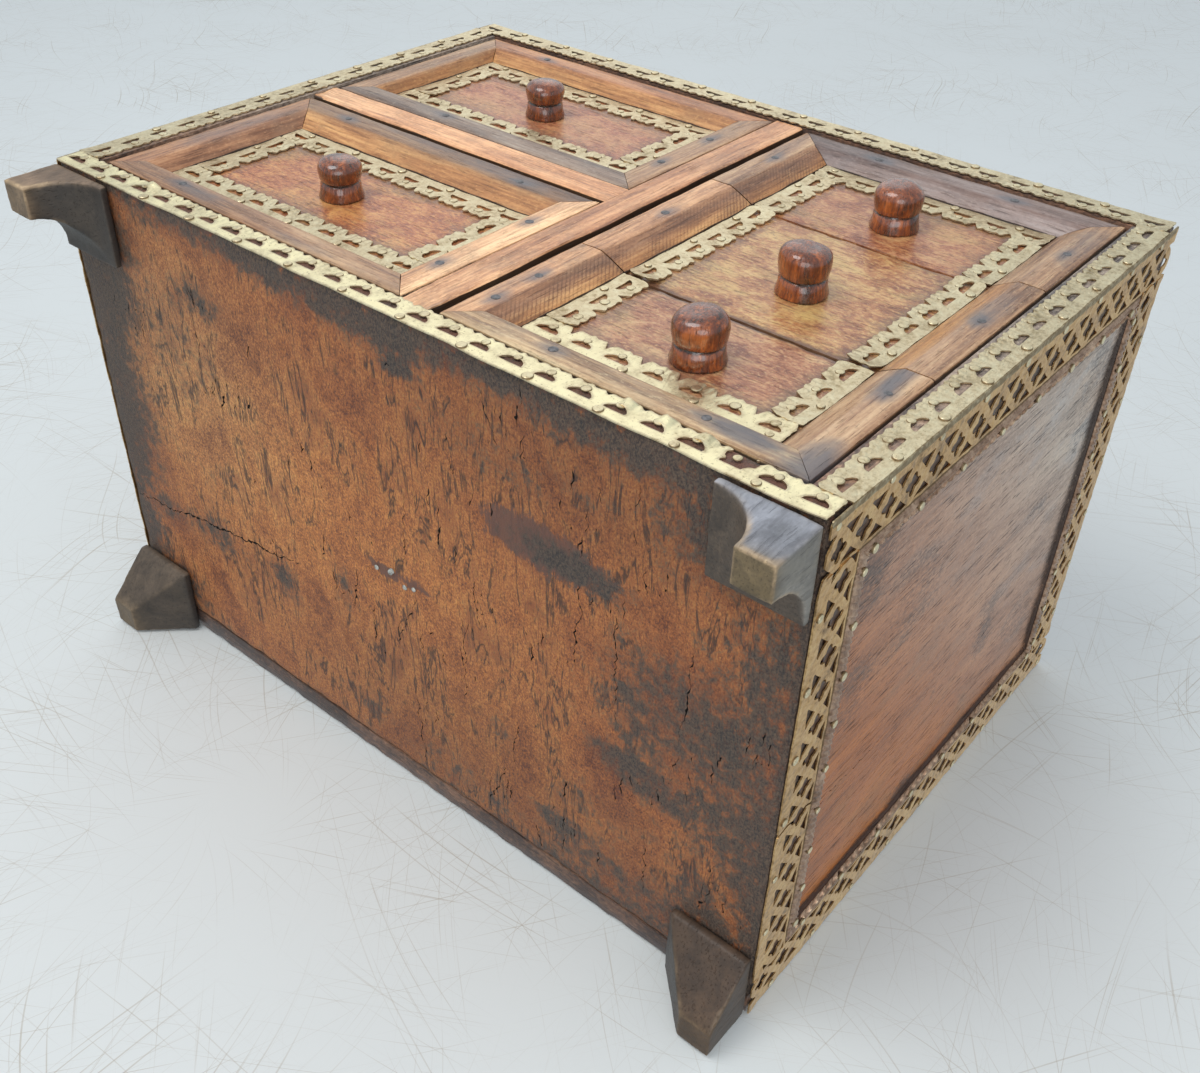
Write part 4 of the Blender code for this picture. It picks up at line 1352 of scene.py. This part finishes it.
def add_moons(sheet, face, span, width, seed, lift, polish, cut=None, **edges):
    """A strip of half moons, with more of the metal taken away where there is a cut."""

    def solid(u, v):
        depth = moon_depth(u, v, span, width, seed, **edges)
        return np.minimum(depth, cut(u, v)) if cut else depth

    def relief(u, v):
        return moon_relief(u, v, span, seed)

    sheet.add_strip(face, span, width, SHEET_CELL, solid, relief, lift, polish)


def add_heads(name, tacks, radius, discs, body):
    """The tacks of a brass band, and the flat heads at its half moons."""
    add_domes(f"{name}_tacks", tacks, FRONTWARD, (radius, TACK_HEIGHT), body, BRASS_SHEET, "brass")
    add_domes(f"{name}_discs", discs, FRONTWARD, (DISC_RADIUS, DISC_HEIGHT), body, BRASS_SHEET, "brass")


def add_front_border():
    """Four pierced strips over the front edges of the outer boards."""
    sheet = Sheet()
    tacks = []
    discs = []
    corners = front_rectangle(LEFT, RIGHT, UNDERSIDE, TOP, FRONT - GLUE_LINE)
    for order, (face, length) in enumerate(runs(corners, FRONTWARD)):
        upright = order % 2 == 1
        margin = BORDER_BAND - CORNER_LAP if upright else 0.0
        reach = LIP_LEVEL + BRASS if upright else OVERHANG
        face.origin = face.at(margin, -reach, 0)
        width = BORDER_BAND + reach
        span = length - 2 * margin
        seed = 1.3 + order
        if order == 0:
            lift = curled(span, seed, flaps=FLAPS)
            edges = {"polish": BORDER_POLISH, "cut": torn_patch, "wave": BENT_WAVE}
        else:
            lift = curled(span, seed)
            edges = {"polish": 1.0}
        add_moons(sheet, face, span, width, seed, lift, notch=BORDER_NOTCH, **edges)
        discs += moon_discs(face, span)
        tacks += moon_tacks(face, 2.0, span / MOON_PITCH - 0.6)
    for side in (-1, 1):
        add_lip(sheet, side)
    sheet.add_to("pierced_front_border", CARCASS, BRASS_SHEET, "brass", SHEET_SHARP, "front_brass_border")
    add_heads("front", tacks, FRONT_TACK, discs, CARCASS)


def add_drawer_brass(drawer):
    """Pierced strips on a drawer front, inside its mouldings."""
    sides = DRAWERS[drawer]
    faces = panel_runs(drawer)
    loose = drawer == "middle_right"
    tacks = []
    discs = []
    whole = Sheet()
    body = drawer + "_drawer"
    for side in sides:
        face, length = faces[side]
        order = SIDES.index(side)
        upright = side in ("left", "right")
        start, end = (
            (strip_width(drawer, SIDES[near % 4]) + GLUE_LINE + (DRAWER_BAND - CORNER_LAP) * upright) * met
            for near, met in zip((order - 1, order + 1), joined(sides, side))
        )
        face.origin = face.at(start, strip_width(drawer, side) + GLUE_LINE, 0)
        span = length - start - end
        seed = 2.1 + order + len(drawer)

        def tongue(u, v):
            from_end = np.maximum(TONGUE_RADIUS - np.minimum(u, span - u), 0)
            from_side = np.maximum(TONGUE_RADIUS - np.minimum(v, DRAWER_BAND - v), 0)
            return TONGUE_RADIUS - np.hypot(from_end, from_side)

        lift = curled(span, seed, LOOSE_CURL if loose else DRAWER_CURL)
        sheet = Sheet() if loose else whole
        polish = DRAWER_POLISH if (drawer, side) == ("lower_right", "bottom") else 1.0
        add_moons(sheet, face, span, DRAWER_BAND, seed, lift, polish, tongue if loose else None)
        discs += moon_discs(face, span)
        tacks += moon_tacks(face, 1.0, span / MOON_PITCH - 0.2)
        if loose:
            node = node_of(drawer, "brass", side)
            sheet.add_to(f"{drawer}_pierced_brass_{side}", body, BRASS_SHEET, "brass", SHEET_SHARP, node)
    if not loose:
        node = node_of(drawer, "brass", "")
        whole.add_to(f"{drawer}_pierced_brass", body, BRASS_SHEET, "brass", SHEET_SHARP, node)
    add_heads(drawer, tacks, DRAWER_TACK, discs, body)


CROSS_PLACE = 0.0158
CROSS_REACH = 0.0054
TRIANGLE_HALF = 0.0059
LATTICE_RELIEF = 0.00018
# Levels of the foot and the tip of each triangle
TRIANGLES = ((0.0070, 0.0136), (0.0232, 0.0182))
# Where the lower strip of the right lattice is broken through
BREAK_PLACE = 0.129
# How far apart the tacks are on the lattice, and on level and upright ropes
LATTICE_TACKS = 0.035
ROPE_TACKS = (0.025, 0.033)
SIDE_TACK = (0.0019, 0.0007)
ROPE_SHARP = 70


def lattice_depth(u, v, length, seed):
    """The side bands: a row of four-lobed holes, with a triangle on each side of the gaps between them."""
    x, step = unit_place(u, length, LATTICE_PITCH)
    y = v - CROSS_PLACE
    angle = np.arctan2(y, x)
    lobed = np.hypot(x, y) - CROSS_REACH * (0.5 + 0.5 * np.abs(np.cos(2 * angle)) ** 1.3)
    beside = step / 2 - np.abs(x)
    holes = []
    for base, tip in TRIANGLES:
        share = (v - base) / (tip - base)
        half = TRIANGLE_HALF * np.clip(1 - share, 0, 1) ** 1.25
        reach = abs(tip - base) * np.minimum(share, 1 - share)
        holes.append(-np.minimum(half - beside, reach))
    ends = np.minimum(u, length - u) - 0.0003
    outer = v - 0.0003 * (1 + ripple(u * 35, v * 0, seed))
    return np.minimum.reduce([lobed, *holes, ends, outer, SIDE_BAND - 0.0004 - v])


def add_side_trim(name, side):
    """A lattice of brass round a side, with a copper rope inside it and tacks on both."""
    outer = (RIGHT if side > 0 else LEFT) + side * GLUE_LINE
    near, far = (FRONT, BACK) if side > 0 else (BACK, FRONT)
    corners = [(outer, near, UNDERSIDE), (outer, far, UNDERSIDE), (outer, far, TOP), (outer, near, TOP)]
    out = (side, 0, 0)
    sheet = Sheet()
    rope = Rope()
    tacks = []
    for order, (face, length) in enumerate(runs(corners, out)):
        margin = 0.0 if order % 2 else SIDE_BAND - 0.001
        strip = Face(face.at(margin, 0, 0), face.along, out)
        span = length - 2 * margin
        seed = 4.2 + order + side

        def solid(u, v):
            depth = lattice_depth(u, v, span, seed)
            if order == 0 and side > 0:
                break_line = np.abs(u - BREAK_PLACE - 0.0015 * ripple(v * 90, v * 0, 2)) - 0.0006
                depth = np.minimum(depth, break_line)
            return depth

        def relief(u, v):
            return LATTICE_RELIEF * (1 + ripple(u * 80, v * 80, seed))

        sheet.add_strip(strip, span, SIDE_BAND, LATTICE_CELL, solid, relief, curled(span, seed))
        inset = SIDE_BAND + GLUE_LINE
        line = Face(face.at(inset, inset, 0), face.along, out)
        rope.add_run(line, length - 2 * inset, seed, order % 2 == 1)
        for place in np.arange(0.018, span, LATTICE_TACKS):
            tacks.append(strip.at(place, 0.0036, HEAD_LEVEL))
        for place in np.arange(inset + 0.012, length - inset, ROPE_TACKS[order % 2]):
            tacks.append(face.at(place, inset + ROPE_WIDTH * 0.6, ROPE_HEIGHT * 0.75))
    lattice = f"{name}_brass_lattice"
    sheet.add_to(f"{name}_pierced_lattice", CARCASS, LATTICE_SHEET, "brass", SHEET_SHARP, lattice)
    rope.add_to(f"{name}_twisted_rope", CARCASS, COPPER, "copper", ROPE_SHARP, f"{name}_copper_rope")
    add_domes(f"{name}_tacks", tacks, out, SIDE_TACK, CARCASS, BRASS_SHEET, "brass")


TOOTH_PITCH = 0.0057
TOOTH_START = 0.0039
TOOTH_REACH = 0.0034
TOOTH_HEIGHT = 0.0017
# Beads of an upright rope: place across it, and height
BEADS = ((0.0017, 0.0011), (0.0032, 0.0014))
BEAD_HALF = 0.0008
RIDGE_PITCH = 0.0033
ROPE_GAP = 0.0009
GAP_LEVEL = 0.0003
ROPE_GAP_SHADE = -0.6
ROPE_WEAR = 0.00015
ROPE_LINES = 16
ROPE_STATION = 0.0006
ROPE_FOOT = 0.0004


def bead(place, middle):
    return np.sqrt(np.clip(1 - ((place - middle) / BEAD_HALF) ** 2, 0, 1))


def toothed(u, v):
    """Height and shine of an upright rope: two smooth beads, and slanted strands along the inner half."""
    share = np.clip((v - TOOTH_START) / TOOTH_REACH, 0, 1)
    strand = np.clip(np.cos(2 * math.pi * (u / TOOTH_PITCH - 0.6 * share)), 0, 1) ** 1.6
    strand = strand * np.sin(math.pi * share) ** 0.5
    beads = np.maximum(*(height * bead(v, place) for place, height in BEADS))
    height = np.maximum(ROPE_FOOT + beads, ROPE_FOOT + TOOTH_HEIGHT * strand)
    return height, 0.35 + 320 * beads + strand


def ridged(u, v):
    """Height and shine of a level rope: slanted ridges from edge to edge."""
    share = v / ROPE_WIDTH
    ridge = 0.5 + 0.5 * np.cos(2 * math.pi * (u / RIDGE_PITCH - 1.2 * share))
    crown = 1 - np.abs(2 * share - 1.1) ** 4
    height = ROPE_FOOT + np.clip(crown, 0, 1) * (0.0008 + 0.0009 * ridge)
    return height, 0.45 + 0.55 * ridge * np.clip(crown, 0, 1)


class Rope(Metalwork):
    """A flattened rope, mitred at the corners, with a low gap along its outer edge, dark with painted shade.
    """

    def add_run(self, face, length, seed, upright):
        inset = np.linspace(0, ROPE_WIDTH, ROPE_LINES)
        stations = np.linspace(0, 1, round(length / ROPE_STATION) + 1)
        u = inset + (length - 2 * inset) * stations[:, None]
        v = inset * np.ones_like(u)
        height, shine = (toothed if upright else ridged)(u, v)
        gap = v < ROPE_GAP
        height = np.where(gap, GAP_LEVEL, height - ROPE_WEAR * (1 + ripple(u * 40, v * 10, seed)))
        # Painted shade in the gap along the outer edge
        shine = np.where(gap, ROPE_GAP_SHADE, shine)
        points = face.at(u, v, np.clip(height, 0.0002, ROPE_HEIGHT))
        ends = [0, -1]
        foot = face.at(u[:, ends], v[:, ends], np.zeros_like(u[:, ends]))
        rings = np.concatenate([foot[:, :1], points, foot[:, 1:]], 1)
        shine = np.concatenate([shine[:, :1], shine, shine[:, -1:]], 1)
        count = rings.shape[1]
        start = len(self.points)
        self.points += list(rings.reshape(-1, 3))
        self.edge += list(shine.ravel())
        self.faces += tube(start, count, len(stations), True)
        self.faces.append(ring(start, count))
        self.faces.append(ring(len(self.points) - count, count)[::-1])


KNOB_SIDES = 40
KNOB_BASE = 0.008
# How square and how lopsided the head of each knob is
KNOB_HEADS = {
    "upper_left": (2.5, 0.3), "lower_left": (2.7, 0.4), "upper_right": (2.7, 0.4),
    "middle_right": (3.4, 0.9), "lower_right": (3.1, 0.7),
}
KNOB_GROOVE = 0.0022
KNOB_UNEVEN = 0.028
KNOB_DROP = 0.0016
KNOB_SHARP = 50
HEAD_STEPS = 12
# Outline of a knob below its head: how far it lies inside the radius, and its height
KNOB_OUTLINE = (
    (0.0002, 0.0), (0.0, 0.0010), (0.0009, KNOB_BASE * 0.5), (0.0012, KNOB_BASE - 0.0010),
    (KNOB_GROOVE, KNOB_BASE - 0.0002), (KNOB_GROOVE, KNOB_BASE + 0.0002), (0.0010, KNOB_BASE + 0.0010),
    (0.0006, KNOB_BASE + 0.0030),
)


def knob_profile(radius, height, squareness):
    """(radius, height) from the foot of the flared base up over the head, with a groove between them."""
    profile = [(radius - inset, level) for inset, level in KNOB_OUTLINE]
    shoulder = KNOB_BASE + 0.42 * (height - KNOB_BASE)
    for step in range(HEAD_STEPS):
        angle = math.pi / 2 * step / (HEAD_STEPS - 0.4)
        width = math.cos(angle) ** (2 / squareness)
        rise = math.sin(angle) ** (2 / squareness)
        profile.append(((radius - 0.0002) * width, shoulder + (height - shoulder) * rise))
    return profile


def wobble(angle, rise, seed):
    """Flats and dents round a knob, the same after each full turn."""
    slow = math.cos(3 * angle + seed + 60 * rise)
    return 0.6 * slow + 0.4 * math.cos(5 * angle - seed + 190 * rise)


def add_knob(drawer):
    """A hand-turned knob, a little lopsided."""
    low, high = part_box(drawer + "_knob")
    middle = (low + high) / 2
    radius = (high.x - low.x) / 2
    squareness, lean = KNOB_HEADS[drawer]
    profile = knob_profile(radius, high.y - low.y, squareness)
    seed = 3.0 * len(drawer) + lean
    points = []
    for share, rise in profile:
        for turn in range(KNOB_SIDES):
            angle = 2 * math.pi * turn / KNOB_SIDES
            uneven = 1 - KNOB_UNEVEN * (1 + wobble(angle, rise, seed))
            drop = lean * KNOB_DROP * max(0.0, rise / 0.022 - 0.5) * (1 + math.cos(angle + seed))
            points.append((middle.x + share * uneven * math.cos(angle), high.y - rise + drop,
                           middle.z + share * uneven * math.sin(angle)))
    faces = tube(0, KNOB_SIDES, len(profile))
    faces.append(ring(len(points) - KNOB_SIDES, KNOB_SIDES))
    faces.append(ring(0, KNOB_SIDES)[::-1])
    mesh = new_mesh(drawer + "_turned_knob", points, faces, KNOB_SHARP)
    at = points_of(mesh)
    rise = high.y - at[:, 1]
    dirt_and_shade = 0.9 * np.exp(-((rise - KNOB_BASE) / 0.0007) ** 2) + 0.7 * np.exp(-rise / 0.001)
    paint(mesh, at[:, [1, 0, 2]] + seed, dirt_and_shade)
    add_piece(drawer + "_turned_knob", mesh, drawer + "_drawer", KNOB_WOOD, "knob_wood", drawer + "_knob")


FOOT_VOXEL = 0.001
FOOT_LOSS = 0.0006
FOOT_GRAIN = 0.00022
# Colours of each foot: its front, its outer side, its inner sides, its tip; partly its own colours, partly
# painted light and shade by which way each face looks
FOOT_TONES_AND_SHADE = {
    ("front", "right"): ((126, 127, 132), (120, 116, 108), (84, 71, 58), (108, 92, 64)),
    ("front", "left"): ((112, 92, 74), (86, 74, 62), (62, 54, 46), (120, 100, 76)),
    ("back", "right"): ((70, 52, 38), (66, 50, 37), (58, 45, 34), (84, 64, 44)),
    ("back", "left"): ((84, 70, 56), (78, 66, 54), (66, 56, 46), (100, 84, 64)),
}
WORN_EDGE = (176, 150, 116)
EDGE_SHINE = {"front": 1.0, "back": 0.3}


def convexity(mesh, points, normals):
    """How far each point stands out from the points next to it."""
    ends = np.empty(len(mesh.edges) * 2, np.int32)
    mesh.edges.foreach_get("vertices", ends)
    first, second = ends.reshape(-1, 2).T
    total = np.zeros_like(points)
    count = np.zeros(len(points))
    for here, there in ((first, second), (second, first)):
        np.add.at(total, here, points[there] - points[here])
        np.add.at(count, here, 1)
    return -(total / np.maximum(count, 1)[:, None] * normals).sum(1)


def add_foot(row, column):
    """A foot worn round at its edges: pale at the tip, black with dirt and painted shade where it meets the
    board, and each face painted lighter or darker by which way it faces.
    """
    node = f"{row}_{column}_foot"
    mesh = applied(
        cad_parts[node].data.copy(),
        ("REMESH", {"mode": "VOXEL", "voxel_size": FOOT_VOXEL, "use_smooth_shade": True}),
        ("SMOOTH", {"iterations": 14, "factor": 0.5}),
    )
    mesh.materials.clear()
    at = points_of(mesh)
    normals = np.array([vertex.normal for vertex in mesh.vertices])
    seed = 2.0 + len(node)
    loss = np.array([0.5 + 0.5 * noise.noise(Vector(point) * 90 + Vector((seed, 0, 0))) for point in at])
    fine = np.array([0.5 + 0.5 * noise.noise(Vector(point) * 380) for point in at])
    low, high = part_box(node)
    rounded = convexity(mesh, at, normals)
    at = at - normals * (FOOT_LOSS * loss + FOOT_GRAIN * fine)[:, None]
    mesh.vertices.foreach_set("co", at.astype(np.float32).ravel())
    mesh.update()
    height = (at[:, 2] - low.z) / (high.z - low.z)
    outward = normals[:, 0] if column == "right" else -normals[:, 0]
    inner = 1 - np.clip(1.4 * np.maximum(-normals[:, 1], outward), 0, 1)
    # Dirt and painted shade on the inner faces near the board
    dirt_and_shade = 1.2 * np.clip((height - 0.7) / 0.25, 0, 1) * inner - 0.2
    # Each face tinted by which way it faces: the foot's own colours, and painted light and shade
    front, outer, inward, tip = (tint_of(tone, FOOT_BASE) for tone in FOOT_TONES_AND_SHADE[row, column])
    tint = towards(inward, outer, np.clip(1.5 * outward, 0, 1)[:, None])
    tint = towards(tint, front, np.clip(-normals[:, 1], 0, 1)[:, None])
    tint = towards(tint, tip, np.exp(-height / 0.1)[:, None])
    tint = tint * (0.72 + 0.4 * loss + 0.16 * fine)[:, None]
    worn = np.clip(rounded / 0.00003 - 0.6, 0, 1) * (0.25 + 0.75 * fine) * np.clip(3 * loss - 0.8, 0, 1)
    worn = worn * np.clip(2.2 - 3.2 * height, 0.1, 1) * EDGE_SHINE[row]
    worn = np.minimum(worn, 0.8)[:, None]
    tint = towards(tint, tint_of(WORN_EDGE, FOOT_BASE), worn)
    paint(mesh, at[:, [2, 0, 1]] + seed, dirt_and_shade, 0.0, tint)
    add_piece(f"worn_{node}", mesh, CARCASS, FOOT_WOOD, "foot_wood", node)


# Tint of the wood of each drawer front
PANEL_TINTS = {
    "upper_left": (0.74, 0.72, 0.84), "lower_left": (0.8, 0.79, 0.70), "upper_right": (0.73, 0.8, 0.88),
    "middle_right": (0.81, 1.04, 1.08), "lower_right": (0.75, 0.92, 1.15),
}
# Painted shade on the edges of the right fronts that meet, black below the middle one
FRONT_GAP_SHADE = {
    "lower_right": {"top": 1.0}, "middle_right": {"bottom": 1.0, "top": 0.5}, "upper_right": {"bottom": 0.5},
}
GAP_RIM = 0.0009
# Darkening under the brass and beside it, how far the latter reaches, and how much is taken off everywhere
UNDER_BRASS = 0.62
BESIDE_BRASS = 0.85
PANEL_REACH = 0.010
CLEAN = 0.15


def add_panel(drawer):
    """A drawer front, darker along the inside of its brass, with painted shade where the right fronts meet.
    """
    node = drawer + "_drawer_front"
    left, right, low, high = front_box(drawer)

    def dirt_and_shade(points):
        from_edge = {"left": points[:, 0] - left, "right": right - points[:, 0],
                     "bottom": points[:, 2] - low, "top": high - points[:, 2]}
        gaps = [from_edge[side] - strip_width(drawer, side) - DRAWER_BAND for side in DRAWERS[drawer]]
        gap = np.minimum.reduce(gaps)
        beside = BESIDE_BRASS * np.exp(-np.maximum(gap, 0) / PANEL_REACH)
        soil_and_shade = np.where(gap < -0.002, UNDER_BRASS, beside) - CLEAN
        # Painted shade in the gaps where the right fronts meet
        for side, strength in FRONT_GAP_SHADE.get(drawer, {}).items():
            soil_and_shade = np.where(from_edge[side] < GAP_RIM, strength, soil_and_shade)
        return soil_and_shade

    add_plain_board(
        drawer + "_panel", node, drawer + "_drawer", PANEL_WOOD, "panel_wood", [0, 2, 1],
        PANEL_TINTS[drawer], dirt_and_shade,
    )


def paint_drawer_boxes():
    """Plain wood on the solids that stay as they are: the inside of each drawer and the boards it runs on."""
    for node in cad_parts.values():
        if not node.hide_render:
            node.data.materials.clear()
            node.data.materials.append(DRAWER_WOOD)


CAMERA_PLACE = Vector((0.36276, -0.37402, -0.27162))
CAMERA_RIGHT = Vector((0.76961, -0.02747, 0.63792)).normalized()
CAMERA_VIEW = Vector((-0.49153, 0.61220, 0.61936)).normalized()
CAMERA_LENS = 38.79
SENSOR = 36.0


def add_camera():
    """The photograph's view: from below the underside and in front, with the cabinet on its back."""
    data = bpy.data.cameras.new("camera")
    data.lens = CAMERA_LENS
    data.sensor_width = SENSOR
    data.clip_start = 0.01
    camera = link("camera", data)
    up = (-CAMERA_VIEW).cross(CAMERA_RIGHT)
    turn = Matrix((CAMERA_RIGHT, up, -CAMERA_VIEW)).transposed().to_4x4()
    camera.matrix_world = Matrix.Translation(CAMERA_PLACE) @ turn
    bpy.context.scene.camera = camera


FLOOR_COLOUR = (205, 208, 205)
SCRATCH_TURNS = (0.15, 0.6, 1.05, 1.5, 2.0, 2.45, 2.85)
SCRATCH_SIZE = (1 / 750, 1 / 5, 1 / 5)
SCRATCH_COLOUR = (150, 134, 110)
STAGE_SIZE = 8.0
FLOOR_GAP = 0.0008


def floor_material(name, scratches):
    """Pale, and seen from one side only, so that the cabinet shows from behind and from below too."""
    shader = new_shader(name)
    clouds = shader.noise(shader.place(), (1.5, 1.5, 1.5), 3)
    colour = shader.ramp(clouds, [(0.3, srgb(*FLOOR_COLOUR)), (0.7, srgb(*(v - 4 for v in FLOOR_COLOUR)))])
    patches = shader.noise(shader.place(), (7, 7, 7), 4, 0.6)
    sway = shader.noise(shader.place(), (3, 3, 3), 1)
    sways = (0.12, 0.12, 0.12)
    bent = shader.node("VectorMath", sway, sways, shader.place(), operation="MULTIPLY_ADD").outputs[0]
    for turn in scratches:
        drawn = shader.node("Mapping", bent, None, (0, turn, 0), SCRATCH_SIZE, vector_type="TEXTURE")
        line = shader.range(shader.noise(drawn.outputs[0], (1, 1, 1), 2, 0.6), 0.64, 0.69, 0.0, 0.55)
        line = shader.times(line, shader.range(patches, 0.34, 0.62))
        colour = shader.mix(line, colour, srgb(*SCRATCH_COLOUR))
    shader.finish(Base_Color=colour, Roughness=0.7)
    clear = shader.node("BsdfTransparent")
    behind = shader.node("NewGeometry").outputs["Backfacing"]
    mixed = shader.node("MixShader", behind, shader.surface.outputs[0], clear.outputs[0])
    shader.feed(shader.tree.nodes["Material Output"].inputs["Surface"], mixed.outputs[0])
    return shader.holder


def add_floor(name, place, out, material):
    """A large square of the stage, which throws no shadow and no light on the cabinet."""
    face = Face(place, (1, 0, 0), out)
    half = STAGE_SIZE / 2
    corners = [face.at(u, v, 0) for u, v in ((-half, -half), (half, -half), (half, half), (-half, half))]
    mesh = new_mesh(name, corners, [(0, 1, 2, 3)])
    mesh.materials.append(material)
    floor = link(name, mesh)
    for rays in ("diffuse", "glossy", "transmission", "shadow"):
        setattr(floor, "visible_" + rays, False)


# Lamps: place, size and power
LAMPS = {
    "key": ((-0.3, -1.5, -0.46), 0.9, 12),
    "sheen": ((-1.0, -1.25, 1.45), 1.6, 4),
    "fill": ((0.9, -0.5, -0.9), 1.0, 7),
}


def add_lamp(name, place, size, power):
    """A round soft lamp that points at the middle of the cabinet."""
    data = bpy.data.lights.new(name, "AREA")
    data.shape = "DISK"
    data.size = size
    data.energy = power
    lamp = link(name, data)
    lamp.location = place
    aim = Vector((0, 0, (UNDERSIDE + TOP) / 2)) - Vector(place)
    lamp.rotation_mode = "QUATERNION"
    lamp.rotation_quaternion = aim.to_track_quat("-Z", "Y")
    lamp.visible_camera = False


WORLD_LIGHT = 0.75
WORLD_COLOUR = (236, 244, 255)
WORLD_SHOWN = (198, 211, 217)


def add_world():
    """A pale room, brighter from the front, where the photograph's ceiling is."""
    shader = Shader(bpy.data.worlds.new("pale_room"))
    bpy.context.scene.world = shader.holder
    nodes = shader.tree.nodes
    direction = shader.node("SeparateXYZ", shader.node("TexCoord").outputs["Generated"])
    dim, bright = 0.45 * WORLD_LIGHT, 1.35 * WORLD_LIGHT
    background = nodes["Background"]
    shader.feed(background.inputs["Color"], srgb(*WORLD_COLOUR))
    shader.feed(background.inputs["Strength"], shader.range(direction.outputs["Y"], 0.6, -1.0, dim, bright))
    shown = shader.node("Background", srgb(*WORLD_SHOWN))
    rays = shader.node("LightPath").outputs
    seen = rays["Is Camera Ray"]
    for kind in ("Is Glossy Ray", "Is Transmission Ray"):
        seen = shader.math("MAXIMUM", seen, rays[kind])
    choose = shader.node("MixShader", seen, background.outputs[0], shown.outputs[0])
    shader.feed(nodes["World Output"].inputs["Surface"], choose.outputs[0])


def add_stage():
    scratched = floor_material("scratched_floor", SCRATCH_TURNS)
    add_floor("floor_behind", (0, BACK + FLOOR_GAP, 0), FRONTWARD, scratched)
    add_floor("floor_under", (0, 0, CAD_BOX[0].z), (0, 0, 1), floor_material("pale_floor", ()))
    for name, settings in LAMPS.items():
        add_lamp(name, *settings)
    add_world()
    bpy.context.scene.view_settings.view_transform = "Standard"


BOARD_TINTS = {"top": (1.1, 1.05, 1.0), "back": (0.8, 0.78, 0.75)}


def add_object():
    add_bottom()
    for name, side in (("left", -1), ("right", 1)):
        add_side(name, side)
        add_side_trim(name, side)
    for side, grain in (("top", [0, 1, 2]), ("back", [0, 2, 1])):
        add_plain_board(f"worn_{side}_board", f"{side}_board", CARCASS, SIDE_WOOD, "carcass_wood", grain,
                        BOARD_TINTS[side], rim_dirt)
    add_divider("worn_partition", "centre_partition", 0, 1, PARTITION_SHAVED, [2, 0, 1], ORANGE)
    add_divider("worn_left_rail", "left_dust_board", 2, -1, RAIL_SHAVED, [0, 2, 1], BRIGHT)
    for row in ("front", "back"):
        for column in ("left", "right"):
            add_foot(row, column)
    add_front_border()
    for drawer in DRAWERS:
        add_panel(drawer)
        add_mouldings(drawer)
        add_drawer_brass(drawer)
        add_knob(drawer)
    paint_drawer_boxes()


add_camera()
add_stage()
add_object()
